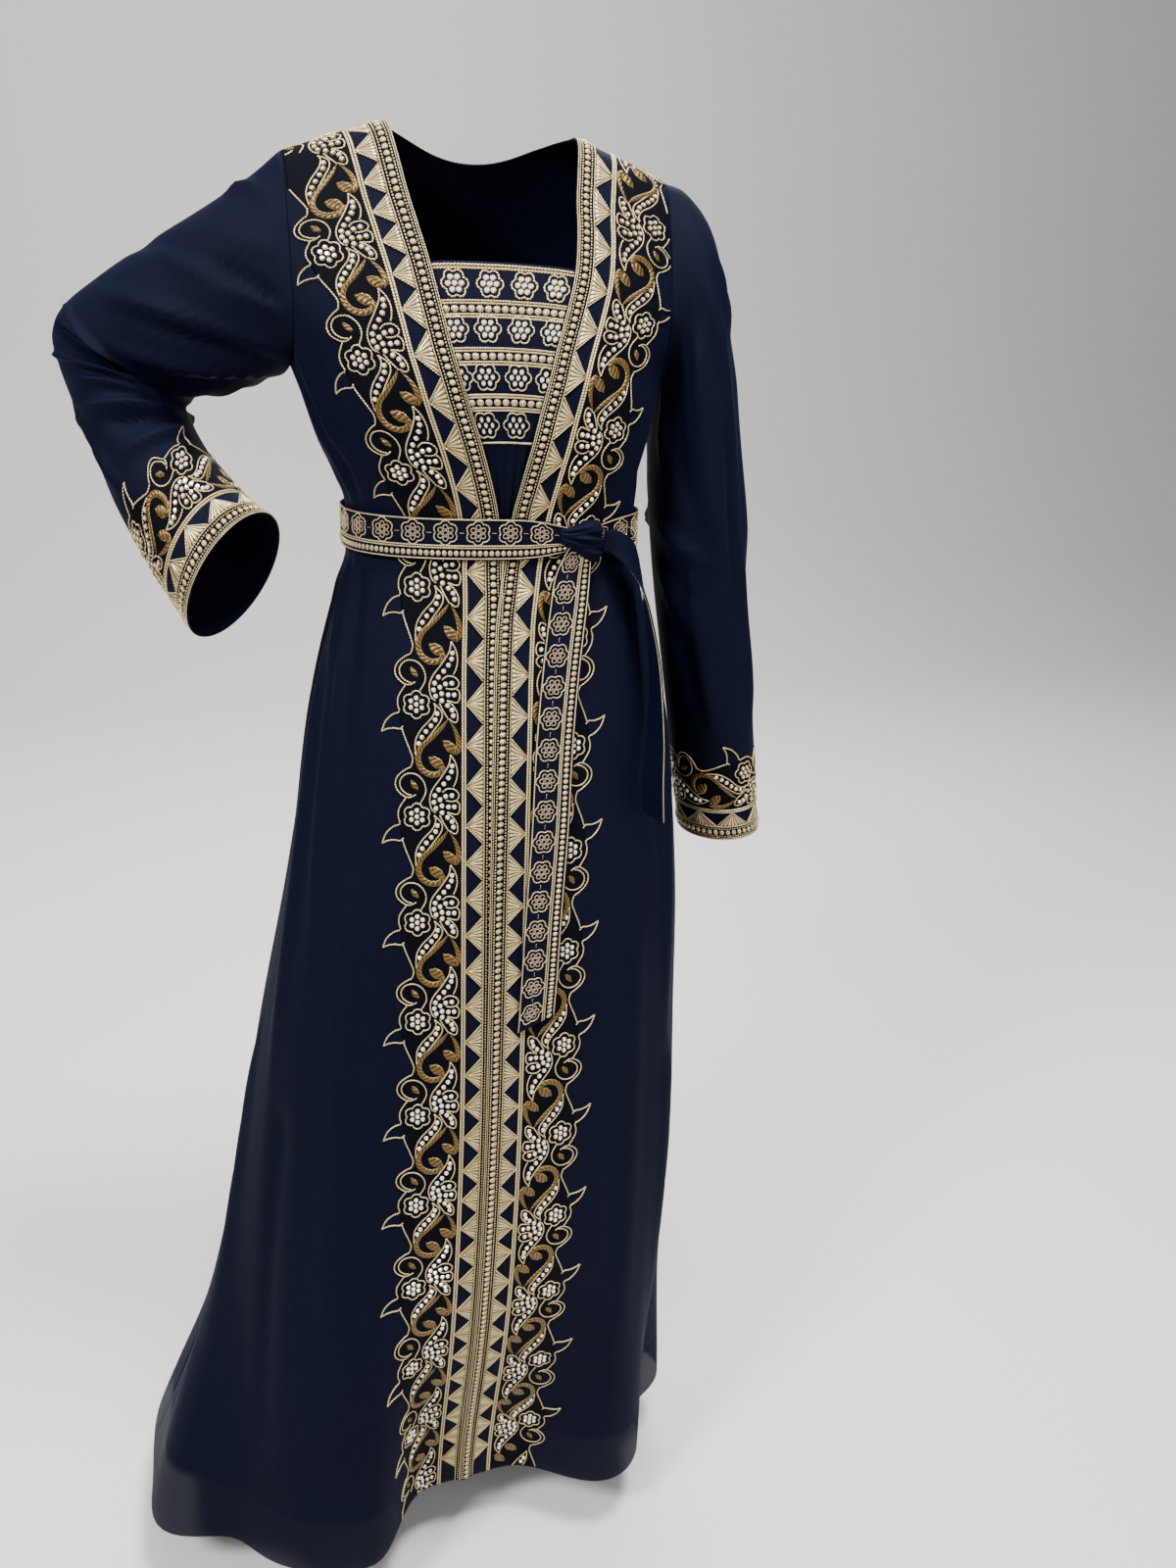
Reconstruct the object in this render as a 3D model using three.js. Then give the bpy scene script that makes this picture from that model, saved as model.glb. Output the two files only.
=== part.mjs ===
import * as THREE from 'three';

// Abaya as worn: millimetres, +Z up, the front faces -Y, the origin is on the shoulder line.
// The wearer's right is -X.  "level" is the height of a row at the front edge.
const clothWall = 1.5;
const seamGap = 0.3;
const tapeWidth = 17;
const tapeThick = 1.2;
const beltTop = -330;
const beltHeight = 38;
const beltThick = 2;
const beltClear = 2.2;
const underarm = -180;
const backJoin = -349;
const neckHalf = 85;
const neckDepth = 50;
const hem = -1420;
const square = 2.5;
const inset = { top: -114, bottom: -398, under: 15, behind: 2.0 };

// Body sections, squarer than an ellipse: centre in x and y, half width, depth in front and behind,
// half opening between the front edges, armhole distance from the middle, and fall of the rows
// towards the side.
const sections = [
  { level: 0, cx: 0, cy: 0, half: 202, front: 0, back: 0, edge: 85, arm: 174, fall: 0.37 },
  { level: -1.2, cx: 0, cy: 0, half: 202, front: 13, back: 15, edge: 84.6, arm: 174, fall: 0.37 },
  { level: -5, cx: 0, cy: 0, half: 202, front: 25, back: 28, edge: 83.6, arm: 173.6, fall: 0.37 },
  { level: -12, cx: 0, cy: 0, half: 203, front: 35, back: 39, edge: 82, arm: 173.2, fall: 0.36 },
  { level: -25, cx: 0, cy: 0, half: 204, front: 45, back: 50, edge: 79.5, arm: 172.6, fall: 0.35 },
  { level: -50, cx: 0, cy: 0, half: 205, front: 60, back: 67, edge: 75, arm: 172, fall: 0.32 },
  { level: -85, cx: 0, cy: 0, half: 205, front: 76, back: 85, edge: 69.5, arm: 171.5, fall: 0.27 },
  { level: -120, cx: 0, cy: 0, half: 199, front: 90, back: 97, edge: 62.5, arm: 171.4, fall: 0.23 },
  { level: -150, cx: 0, cy: 0, half: 187, front: 101, back: 103, edge: 54.5, arm: 171.6, fall: 0.21 },
  { level: -180, cx: 0, cy: 0, half: 172, front: 110, back: 106, edge: 46, arm: 172, fall: 0.2 },
  { level: -215, cx: 2, cy: 0, half: 164, front: 116, back: 104, edge: 36, arm: 172, fall: 0.18 },
  { level: -255, cx: 5, cy: 0, half: 156, front: 114, back: 100, edge: 24.5, arm: 172, fall: 0.13 },
  { level: -295, cx: 10, cy: 0, half: 147, front: 107, back: 94, edge: 13.5, arm: 172, fall: 0.06 },
  { level: -330, cx: 14, cy: 0, half: 142, front: 100, back: 89, edge: 5.5, arm: 172, fall: 0.01 },
  { level: -368, cx: 14, cy: 0, half: 142, front: 98, back: 88, edge: 0.5, arm: 172, fall: 0 },
  { level: -410, cx: 14, cy: -2, half: 150, front: 106, back: 98, edge: 0.5, arm: 172, fall: 0 },
  { level: -470, cx: 14, cy: -5, half: 166, front: 118, back: 112, edge: 0.5, arm: 172, fall: 0 },
  { level: -550, cx: 15, cy: -8, half: 185, front: 133, back: 128, edge: 0.5, arm: 172, fall: 0 },
  { level: -700, cx: 8, cy: -14, half: 207, front: 153, back: 146, edge: 0.5, arm: 172, fall: 0 },
  { level: -870, cx: -8, cy: -20, half: 228, front: 172, back: 162, edge: 0.5, arm: 172, fall: 0 },
  { level: -1050, cx: -24, cy: -26, half: 249, front: 190, back: 174, edge: 0.5, arm: 172, fall: 0 },
  { level: -1230, cx: -50, cy: -31, half: 266, front: 205, back: 184, edge: 0.5, arm: 172, fall: 0 },
  { level: -1420, cx: -86, cy: -36, half: 305, front: 216, back: 194, edge: 0.5, arm: 172, fall: 0 },
];

// The line where the fronts meet, sideways from the middle.
const middle = [
  { level: 0, x: 0 },
  { level: -50, x: 0 },
  { level: -85, x: 3 },
  { level: -118, x: 5 },
  { level: -150, x: 3.5 },
  { level: -190, x: 1.5 },
  { level: -228, x: 2 },
  { level: -264, x: 4 },
  { level: -326, x: 6 },
  { level: -390, x: 5 },
  { level: -477, x: 0 },
  { level: -667, x: -7 },
  { level: -881, x: -14 },
  { level: -1131, x: -26 },
  { level: -1420, x: -35 },
];

// Folds of the skirt: panel, distance along the cloth from the front edge or the centre back,
// half width, how square the trough is, depth outwards at the hem, and where it starts.
const folds = [
  { panel: 'right', at: 0, spread: 96, power: 6, out: -74, from: -960 },
  { panel: 'left', at: 0, spread: 118, power: 4, out: -74, from: -960 },
  { panel: 'right', at: 150, spread: 60, power: 2, out: 10, from: -900 },
  { panel: 'right', at: 285, spread: 46, power: 2, out: -20, from: -820 },
  { panel: 'right', at: 370, spread: 42, power: 2, out: 16, from: -760 },
  { panel: 'left', at: 176, spread: 50, power: 2, out: 12, from: -900 },
  { panel: 'left', at: 262, spread: 38, power: 2, out: -22, from: -860 },
  { panel: 'left', at: 330, spread: 36, power: 2, out: 12, from: -760 },
  { panel: 'back', at: -330, spread: 44, power: 2, out: -20, from: -840 },
  { panel: 'back', at: -245, spread: 42, power: 2, out: 18, from: -700 },
  { panel: 'back', at: -150, spread: 48, power: 2, out: -26, from: -620 },
  { panel: 'back', at: -55, spread: 44, power: 2, out: 20, from: -720 },
  { panel: 'back', at: 40, spread: 46, power: 2, out: -24, from: -560 },
  { panel: 'back', at: 132, spread: 42, power: 2, out: 19, from: -680 },
  { panel: 'back', at: 225, spread: 46, power: 2, out: -22, from: -760 },
  { panel: 'back', at: 318, spread: 40, power: 2, out: 15, from: -820 },
];

// Gathers that the belt draws in, as a depth at each level.
const gathers = [
  { level: 0, deep: 0 },
  { level: -230, deep: 0 },
  { level: -296, deep: 2.2 },
  { level: -330, deep: 0 },
  { level: -368, deep: 0 },
  { level: -398, deep: 3.0 },
  { level: -470, deep: 2.6 },
  { level: -560, deep: 1.2 },
  { level: -680, deep: 0 },
  { level: -1420, deep: 0 },
];
const frontGathers = 3;
const backGathers = 8;
const plainFrom = 121;

const rowLevels = [
  0, -1.2, -5, -12, -25, -50, -85, -120, -150, -180, -215, -255, -295, -325, -349, -372, -398, -430, -475,
  -530, -600, -680, -770, -860, -950, -1030, -1110, -1180, -1245, -1305, -1365, -1420,
];
const underarmRow = rowLevels.indexOf(underarm);

// Sleeve sections: outer and inner point of each ring and its half depth across them.
const bentSleeve = [
  { ox: -205, oy: 16, oz: -57, ix: -177, iy: 5, iz: -213, deep: 64 },
  { ox: -242, oy: 36, oz: -81, ix: -203, iy: 20, iz: -221, deep: 66 },
  { ox: -284, oy: 62, oz: -107, ix: -235, iy: 35, iz: -230, deep: 66 },
  { ox: -326, oy: 88, oz: -136, ix: -256, iy: 46, iz: -236, deep: 65 },
  { ox: -360, oy: 108, oz: -164, ix: -267, iy: 50, iz: -241, deep: 64 },
  { ox: -374, oy: 112, oz: -194, ix: -271, iy: 45, iz: -248, deep: 62 },
  { ox: -370, oy: 102, oz: -226, ix: -268, iy: 36, iz: -256, deep: 60 },
  { ox: -358, oy: 82, oz: -260, ix: -262, iy: 22, iz: -269, deep: 58 },
  { ox: -342, oy: 54, oz: -300, ix: -251, iy: 6, iz: -287, deep: 56 },
  { ox: -324, oy: 28, oz: -346, ix: -236, iy: -14, iz: -306, deep: 55 },
  { ox: -297, oy: 0, oz: -396, ix: -220, iy: -31, iz: -322, deep: 54 },
  { ox: -264, oy: -36, oz: -447, ix: -204, iy: -48, iz: -333, deep: 52 },
];
const hangingSleeve = [
  { ox: 200, oy: 2, oz: -41, ix: 175.5, iy: 2, iz: -210, deep: 62 },
  { ox: 221, oy: 2, oz: -68, ix: 178, iy: 2, iz: -214, deep: 64 },
  { ox: 238, oy: 1, oz: -118, ix: 180, iy: 1, iz: -224, deep: 66 },
  { ox: 250, oy: 0, oz: -184, ix: 181, iy: 0, iz: -246, deep: 66 },
  { ox: 263, oy: -2, oz: -258, ix: 180, iy: -2, iz: -284, deep: 64 },
  { ox: 275, oy: -5, oz: -342, ix: 183, iy: -5, iz: -342, deep: 62 },
  { ox: 287, oy: -8, oz: -425, ix: 192, iy: -8, iz: -418, deep: 59 },
  { ox: 299, oy: -10, oz: -505, ix: 205, iy: -10, iz: -500, deep: 56 },
  { ox: 311, oy: -11, oz: -582, ix: 218, iy: -11, iz: -582, deep: 53 },
  { ox: 319, oy: -11, oz: -642, ix: 228, iy: -11, iz: -644, deep: 50 },
  { ox: 326, oy: -10, oz: -686, ix: 237, iy: -10, iz: -689, deep: 49 },
];

// Hanging belt ends: height, place sideways, distance from the cloth, turn about the vertical, lean of
// the strip's width from sideways to upright, and width.
const longEnd = [
  { level: -370.5, x: 73.5, off: 4.9, turn: 0, lean: 0, wide: 28 },
  { level: -384, x: 70, off: 5.0, turn: 0, lean: 0, wide: 36 },
  { level: -410, x: 65.5, off: 4.4, turn: 0, lean: 0, wide: 38 },
  { level: -470, x: 56, off: 3.4, turn: 0, lean: 0, wide: 38 },
  { level: -540, x: 47.5, off: 3.2, turn: 0, lean: 0, wide: 38 },
  { level: -620, x: 41.5, off: 3.2, turn: 0, lean: 0, wide: 38 },
  { level: -700, x: 34, off: 3.2, turn: 0, lean: 0, wide: 38 },
  { level: -768, x: 28.5, off: 3.2, turn: 0, lean: 0, wide: 38 },
  { level: -812, x: 24.5, off: 3.4, turn: 0, lean: 0, wide: 38 },
];
const shortEnd = [
  { level: -352, x: 100.8, off: 4.9, turn: 0, lean: 82, wide: 20 },
  { level: -353, x: 108, off: 7, turn: 0, lean: 68, wide: 22 },
  { level: -360, x: 117, off: 12, turn: 8, lean: 46, wide: 26 },
  { level: -374, x: 125, off: 17, turn: 24, lean: 24, wide: 32 },
  { level: -396, x: 131, off: 20, turn: 34, lean: 8, wide: 36 },
  { level: -428, x: 136, off: 21, turn: 44, lean: 0, wide: 38 },
  { level: -470, x: 141, off: 21, turn: 54, lean: 0, wide: 38 },
  { level: -530, x: 141, off: 21, turn: 68, lean: 0, wide: 38 },
  { level: -580, x: 137, off: 22, turn: 78, lean: 0, wide: 38 },
  { level: -614, x: 137, off: 22, turn: 80, lean: 0, wide: 38 },
];
const knot = { x: 79, level: -351, wide: 42, tall: 38, bulge: 14 };

const blend = (a, b, t) => a + (b - a) * t;
const ease = (t) => {
  const s = Math.min(1, Math.max(0, t));
  return s * s * (3 - 2 * s);
};

// Smooth value of one column of a table whose levels fall from row to row.
function valueAt(rows, name, level) {
  if (level >= rows[0].level) return rows[0][name];
  const last = rows.length - 1;
  if (level <= rows[last].level) return rows[last][name];
  let i = 0;
  while (rows[i + 1].level > level) i += 1;
  const a = rows[i];
  const b = rows[i + 1];
  const span = b.level - a.level;
  const rise = (b[name] - a[name]) / span;
  const before = i > 0 ? (a[name] - rows[i - 1][name]) / (a.level - rows[i - 1].level) : rise;
  const after = i + 2 <= last ? (rows[i + 2][name] - b[name]) / (rows[i + 2].level - b.level) : rise;
  const startSlope = before * rise > 0 ? (2 * before * rise) / (before + rise) : 0;
  const endSlope = after * rise > 0 ? (2 * after * rise) / (after + rise) : 0;
  const t = (level - a.level) / span;
  const h = t * t * (3 - 2 * t);
  return blend(a[name], b[name], h) + span * (t * (1 - t) * ((1 - t) * startSlope - t * endSlope));
}

const sectionAt = (level) => {
  const s = { level };
  for (const name of ['cx', 'cy', 'half', 'front', 'back', 'edge', 'arm', 'fall']) {
    s[name] = valueAt(sections, name, level);
  }
  s.mid = valueAt(middle, 'x', level);
  return s;
};

// Fall of a row below its level, x mm from the middle.
const fallAt = (s, x) => {
  const d = Math.abs(x - s.mid) - s.edge;
  return s.fall * 0.5 * (d + Math.sqrt(d * d + 576));
};

function foldOut(panel, distance, level) {
  let sum = 0;
  for (const fold of folds) {
    if (fold.panel === panel && level < fold.from) {
      const grow = ease((fold.from - level) / (fold.from - hem));
      const shape = Math.exp(-(Math.abs((distance - fold.at) / fold.spread) ** fold.power));
      sum += fold.out * shape * (0.35 * grow + 0.65 * grow * grow);
    }
  }
  return sum;
}

const gatherOut = (waves, share, level) =>
  valueAt(gathers, 'deep', level) * Math.sin(2 * Math.PI * waves * share) * Math.sin(Math.PI * share);

// Dense line of one half of a row, from the front edge or the centre back out to the armhole or
// side seam.  side is -1 for the wearer's right, +1 for the left; face is -1 in front.
function rowLine(level, side, face) {
  const s = sectionAt(level);
  const depth = face < 0 ? s.front : s.back;
  const startX = face < 0 ? side * (s.mid - s.cx) + s.edge : -side * s.cx;
  const endX = level > underarm ? s.arm - side * s.cx : s.half;
  const angleOf = (x) => Math.acos(Math.sign(x) * Math.min(1, Math.abs(x) / s.half) ** (square / 2));
  const a0 = angleOf(startX);
  const a1 = angleOf(endX);
  const steps = 160;
  const points = [];
  const normals = [];
  for (let i = 0; i <= steps; i += 1) {
    const a = blend(a0, a1, i / steps);
    const c = Math.cos(a);
    const x = s.cx + side * s.half * Math.sign(c) * Math.abs(c) ** (2 / square);
    const y = s.cy + face * (depth * Math.max(0, Math.sin(a)) ** (2 / square) + seamGap / 2);
    points.push([x, y]);
  }
  for (let i = 0; i <= steps; i += 1) {
    const p = points[Math.max(0, i - 1)];
    const q = points[Math.min(steps, i + 1)];
    const length = Math.hypot(q[0] - p[0], q[1] - p[1]) || 1;
    const nx = (q[1] - p[1]) / length;
    const ny = -(q[0] - p[0]) / length;
    const turn = ny * face > 0 || (Math.abs(ny) < 1e-6 && nx * side > 0) ? 1 : -1;
    normals.push([nx * turn, ny * turn]);
  }
  let run = 0;
  const lengths = points.map((p, i) => {
    if (i > 0) run += Math.hypot(p[0] - points[i - 1][0], p[1] - points[i - 1][1]);
    return run;
  });
  const panel = face > 0 ? 'back' : side < 0 ? 'right' : 'left';
  const line = points.map((p, i) => {
    const along = lengths[i];
    let out = foldOut(panel, face > 0 ? side * along : along, level);
    out *= 1 - ease((along - run + 40) / 40);
    const share = Math.max(0, (along - plainFrom) / (run - plainFrom));
    if (face < 0 && along > plainFrom) out += gatherOut(frontGathers, share, level);
    if (face > 0) out += gatherOut(backGathers / 2, along / run, level);
    return new THREE.Vector3(p[0] + normals[i][0] * out, p[1] + normals[i][1] * out, level - fallAt(s, p[0]));
  });
  return line;
}

// Point of a dense line at a distance from its start.
function pointOn(line, distance) {
  let run = 0;
  for (let i = 1; i < line.length; i += 1) {
    const step = Math.hypot(line[i].x - line[i - 1].x, line[i].y - line[i - 1].y);
    if (run + step >= distance || i === line.length - 1) {
      const t = step > 0 ? Math.min(1, (distance - run) / step) : 0;
      return line[i - 1].clone().lerp(line[i], Math.max(0, t));
    }
    run += step;
  }
  return line[line.length - 1].clone();
}

const lineLength = (line) => {
  let run = 0;
  for (let i = 1; i < line.length; i += 1) {
    run += Math.hypot(line[i].x - line[i - 1].x, line[i].y - line[i - 1].y);
  }
  return run;
};

// Outward normals of a grid of points; around says that its columns close into a ring.
function gridNormals(grid, around, sign) {
  const rows = grid.length;
  const columns = grid[0].length;
  return grid.map((row, i) =>
    row.map((_, j) => {
      const up = grid[Math.max(0, i - 1)][j];
      const down = grid[Math.min(rows - 1, i + 1)][j];
      const left = around ? row[(j + columns - 1) % columns] : row[Math.max(0, j - 1)];
      const right = around ? row[(j + 1) % columns] : row[Math.min(columns - 1, j + 1)];
      const a = new THREE.Vector3().subVectors(right, left);
      const b = new THREE.Vector3().subVectors(down, up);
      return a.cross(b).normalize().multiplyScalar(sign);
    })
  );
}

const moved = (grid, normals, distance) =>
  grid.map((row, i) => row.map((p, j) => p.clone().addScaledVector(normals[i][j], distance)));

// Closed wall between an outer and an inner grid.
function wallGeometry(outer, inner, around = false) {
  const rows = outer.length;
  const columns = outer[0].length;
  const positions = [];
  for (const grid of [outer, inner]) {
    for (const row of grid) for (const p of row) positions.push(p.x, p.y, p.z);
  }
  const at = (layer, i, j) => layer * rows * columns + i * columns + (j % columns);
  const faces = [];
  const quad = (a, b, c, d) => faces.push(a, b, c, a, c, d);
  const lastColumn = around ? columns : columns - 1;
  for (let i = 0; i + 1 < rows; i += 1) {
    for (let j = 0; j < lastColumn; j += 1) {
      quad(at(0, i, j), at(0, i + 1, j), at(0, i + 1, j + 1), at(0, i, j + 1));
      quad(at(1, i, j), at(1, i, j + 1), at(1, i + 1, j + 1), at(1, i + 1, j));
    }
  }
  for (let j = 0; j < lastColumn; j += 1) {
    quad(at(0, 0, j), at(0, 0, j + 1), at(1, 0, j + 1), at(1, 0, j));
    quad(at(0, rows - 1, j), at(1, rows - 1, j), at(1, rows - 1, j + 1), at(0, rows - 1, j + 1));
  }
  if (!around) {
    for (let i = 0; i + 1 < rows; i += 1) {
      quad(at(0, i, 0), at(1, i, 0), at(1, i + 1, 0), at(0, i + 1, 0));
      const j = columns - 1;
      quad(at(0, i, j), at(0, i + 1, j), at(1, i + 1, j), at(1, i, j));
    }
  }
  let volume = 0;
  const vertex = (k) => new THREE.Vector3(positions[3 * k], positions[3 * k + 1], positions[3 * k + 2]);
  for (let k = 0; k < faces.length; k += 3) {
    volume += vertex(faces[k]).dot(vertex(faces[k + 1]).cross(vertex(faces[k + 2])));
  }
  if (volume < 0) {
    for (let k = 0; k < faces.length; k += 3) faces.splice(k, 3, faces[k], faces[k + 2], faces[k + 1]);
  }
  const geometry = new THREE.BufferGeometry();
  geometry.setAttribute('position', new THREE.Float32BufferAttribute(positions, 3));
  geometry.setIndex(faces);
  geometry.computeVertexNormals();
  return geometry;
}

const cloth = { color: 0x10142a, roughness: 0.78, metalness: 0 };
const tape = { color: 0xb7a27a, roughness: 0.5, metalness: 0.15 };
const beltCloth = { color: 0x14152a, roughness: 0.7, metalness: 0 };
const group = new THREE.Group();
function add(name, geometry, look) {
  const mesh = new THREE.Mesh(geometry, new THREE.MeshStandardMaterial(look));
  mesh.name = name;
  group.add(mesh);
}

// Fronts: columns run from the edge over the tape to the side seam.
const frontShares = [0.09, 0.18, 0.27, 0.36, 0.45, 0.53, 0.6, 0.67, 0.73, 0.79, 0.85, 0.9, 0.95, 1];
function frontGrid(side) {
  return rowLevels.map((level) => {
    const line = rowLine(level, side, -1);
    const total = lineLength(line);
    const row = [pointOn(line, 0), pointOn(line, tapeWidth)];
    for (const share of frontShares) row.push(pointOn(line, blend(tapeWidth, total, share)));
    return row;
  });
}

function panelNormals(grid, sign) {
  const normals = gridNormals(grid, false, sign);
  normals[0].forEach((n) => n.setY(0).normalize());
  for (let i = underarmRow; i < grid.length; i += 1) {
    normals[i][grid[i].length - 1].setY(0).normalize();
  }
  return normals;
}

const fronts = {};
for (const [name, side] of [['right', -1], ['left', 1]]) {
  const grid = frontGrid(side);
  const normals = panelNormals(grid, -side);
  grid.forEach((row, i) => {
    if (rowLevels[i] < beltTop - beltHeight) normals[i][0].setX(0).normalize();
  });
  fronts[name] = { grid, normals };
  add(`front_panel_${name}`, wallGeometry(grid, moved(grid, normals, -clothWall)), cloth);
  const strip = grid.map((row) => row.slice(0, 2));
  const inner = moved(strip, normals, seamGap);
  add(`front_tape_${name}`, wallGeometry(moved(strip, normals, seamGap + tapeThick), inner), tape);
}

// Back: from side to side below the neck edge, in an upper and a lower piece that meet behind the belt.
const depthOfNeck = (x) => neckDepth * Math.sqrt(Math.max(0, 1 - (x / neckHalf) ** 2));
const levelOfDepth = (depth) => {
  let low = -90;
  let high = 0;
  for (let i = 0; i < 40; i += 1) {
    const level = (low + high) / 2;
    if (valueAt(sections, 'back', level) > depth) low = level;
    else high = level;
  }
  return (low + high) / 2;
};
const bulgeAt = (s, x) => (1 - Math.min(1, Math.abs(x - s.cx) / s.half) ** square) ** (1 / square);

function backPoint(x, level) {
  const s = sectionAt(level);
  return new THREE.Vector3(x, s.cy + s.back * bulgeAt(s, x) + seamGap / 2, level - fallAt(s, x));
}

const backShares = [];
for (let i = 0; i <= 17; i += 1) backShares.push(i / 17);
function backHalf(side) {
  return rowLevels.map((level) => {
    const line = rowLine(level, side, 1);
    const total = lineLength(line);
    return backShares.map((share) => {
      const p = pointOn(line, total * share);
      if (level < -90 || Math.abs(p.x) >= neckHalf) return p;
      const drop = levelOfDepth(depthOfNeck(p.x)) * (1 + level / 90);
      return backPoint(p.x, level + drop);
    });
  });
}
const backLeft = backHalf(1);
const backRight = backHalf(-1);
const backGrid = backLeft.map((row, i) => [...backRight[i].slice(1).reverse(), ...row]);
const backNormals = gridNormals(backGrid, false, 1);
const backEnd = backGrid[0].length - 1;
backNormals[0].forEach((n, j) => {
  if (Math.abs(backGrid[0][j].x) >= neckHalf) n.setY(0).normalize();
});
for (let i = underarmRow; i < backGrid.length; i += 1) {
  backNormals[i][0].setY(0).normalize();
  backNormals[i][backEnd].setY(0).normalize();
}
const joinRow = rowLevels.indexOf(backJoin);
const backUpper = backGrid.slice(0, joinRow + 1);
const upperNormals = backNormals.slice(0, joinRow + 1);
const joined = backGrid[joinRow].map((p) => p.clone().setZ(p.z - seamGap));
const backLower = [joined, ...backGrid.slice(joinRow + 1)];
const lowerNormals = backNormals.slice(joinRow);
add('back_panel_upper', wallGeometry(backUpper, moved(backUpper, upperNormals, -clothWall)), cloth);
add('back_panel_lower', wallGeometry(backLower, moved(backLower, lowerNormals, -clothWall)), cloth);

// Tape round the back neck, from one front tape to the other.
const neckGrid = [0, 0.5, 1].map((across) => {
  const row = [];
  for (let k = 0; k <= 24; k += 1) {
    const a = blend(-Math.PI / 2, Math.PI / 2, k / 24);
    const x = (neckHalf + across * tapeWidth) * Math.sin(a);
    const y = (neckDepth + across * (tapeWidth - 5)) * Math.cos(a);
    const s = sectionAt(-20);
    row.push(backPoint(x, levelOfDepth(y / bulgeAt(s, x))));
  }
  return row;
});
const neckNormals = gridNormals(neckGrid, false, 1);
for (const row of neckNormals) {
  row[0].setY(0).normalize();
  row[row.length - 1].setY(0).normalize();
}
const neckInner = moved(neckGrid, neckNormals, 0.55);
add('neck_tape', wallGeometry(moved(neckGrid, neckNormals, 0.55 + tapeThick), neckInner), tape);

// Inset behind the fronts, its top edge level between them.
const insetLevels = [inset.top, ...rowLevels.filter((level) => level < inset.top && level >= inset.bottom)];
const insetGrid = insetLevels.map((level) => {
  const s = sectionAt(level);
  const reach = s.edge + inset.under;
  const row = [];
  for (let k = 0; k <= 10; k += 1) {
    const x = s.mid + reach * (k / 5 - 1);
    row.push(new THREE.Vector3(x, s.cy - s.front * bulgeAt(s, x), level - fallAt(s, x)));
  }
  return row;
});
const insetNormals = gridNormals(insetGrid, false, -1);
const insetOuter = moved(insetGrid, insetNormals, -inset.behind);
add('chest_panel', wallGeometry(insetOuter, moved(insetOuter, insetNormals, -clothWall)), cloth);

// Sleeves: the first ring follows the armhole, the rest follow the sleeve's own sections.
function armholeRing(side) {
  const front = fronts[side < 0 ? 'right' : 'left'].grid;
  const back = side < 0 ? backRight : backLeft;
  const end = (row) => row[row.length - 1].clone().setX(row[row.length - 1].x + side * seamGap * 1.2);
  const ring = [end(front[0]).setY(0)];
  for (let i = 1; i < underarmRow; i += 1) ring.push(end(front[i]));
  ring.push(end(front[underarmRow]).setY(0));
  for (let i = underarmRow - 1; i > 0; i -= 1) ring.push(end(back[i]));
  return ring;
}

function sleeveGrid(side, rings) {
  const loop = armholeRing(side);
  const count = loop.length;
  const centres = rings.map((r) => {
    const sum = new THREE.Vector3(r.ox + r.ix, r.oy + r.iy, r.oz + r.iz);
    return sum.multiplyScalar(0.5);
  });
  const start = loop[0].clone().add(loop[underarmRow]).multiplyScalar(0.5);
  const loopAngles = loop.map((p) => Math.atan2(-(p.y - start.y) / 60, (p.z - start.z) / 87));
  const grid = [loop];
  rings.forEach((r, n) => {
    const reach = new THREE.Vector3(r.ox - r.ix, r.oy - r.iy, r.oz - r.iz).multiplyScalar(0.5);
    const before = n > 0 ? centres[n - 1] : start;
    const after = centres[Math.min(rings.length - 1, n + 1)];
    const way = new THREE.Vector3().subVectors(after, before).normalize();
    const across = way.cross(reach).normalize();
    if (across.y > 0) across.negate();
    across.lerp(new THREE.Vector3(0, -1, 0), Math.max(0, 0.95 - 0.35 * n)).normalize();
    const settle = Math.min(1, (n + 1) / 4);
    const row = loop.map((p, k) => {
      const own = loopAngles[k] < -1e-9 ? loopAngles[k] + 2 * Math.PI : loopAngles[k];
      const a = blend(own, (2 * Math.PI * k) / count, settle);
      const q = centres[n].clone().addScaledVector(reach, Math.cos(a));
      q.addScaledVector(across, r.deep * Math.sin(a));
      const kept = p.clone().sub(start).add(centres[n]);
      return n === 0 ? q.lerp(kept, 0.3) : q;
    });
    grid.push(row);
  });
  const last = grid[grid.length - 1];
  const before = grid[grid.length - 2];
  const rim = last.map((p, k) => {
    const back = before[k].clone().sub(p);
    return p.clone().addScaledVector(back.normalize(), tapeWidth);
  });
  grid.splice(grid.length - 1, 0, rim);
  return grid;
}

for (const [name, side, rings] of [['right', -1, bentSleeve], ['left', 1, hangingSleeve]]) {
  const grid = sleeveGrid(side, rings);
  const normals = gridNormals(grid, true, -side);
  normals[0].forEach((n) => n.setX(0).normalize());
  add(`sleeve_${name}`, wallGeometry(grid, moved(grid, normals, -clothWall), true), cloth);
  const rim = grid.slice(-2);
  const rimNormals = normals.slice(-2);
  const inner = moved(rim, rimNormals, seamGap);
  add(`cuff_tape_${name}`, wallGeometry(moved(rim, rimNormals, seamGap + tapeThick), inner, true), tape);
}

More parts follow.
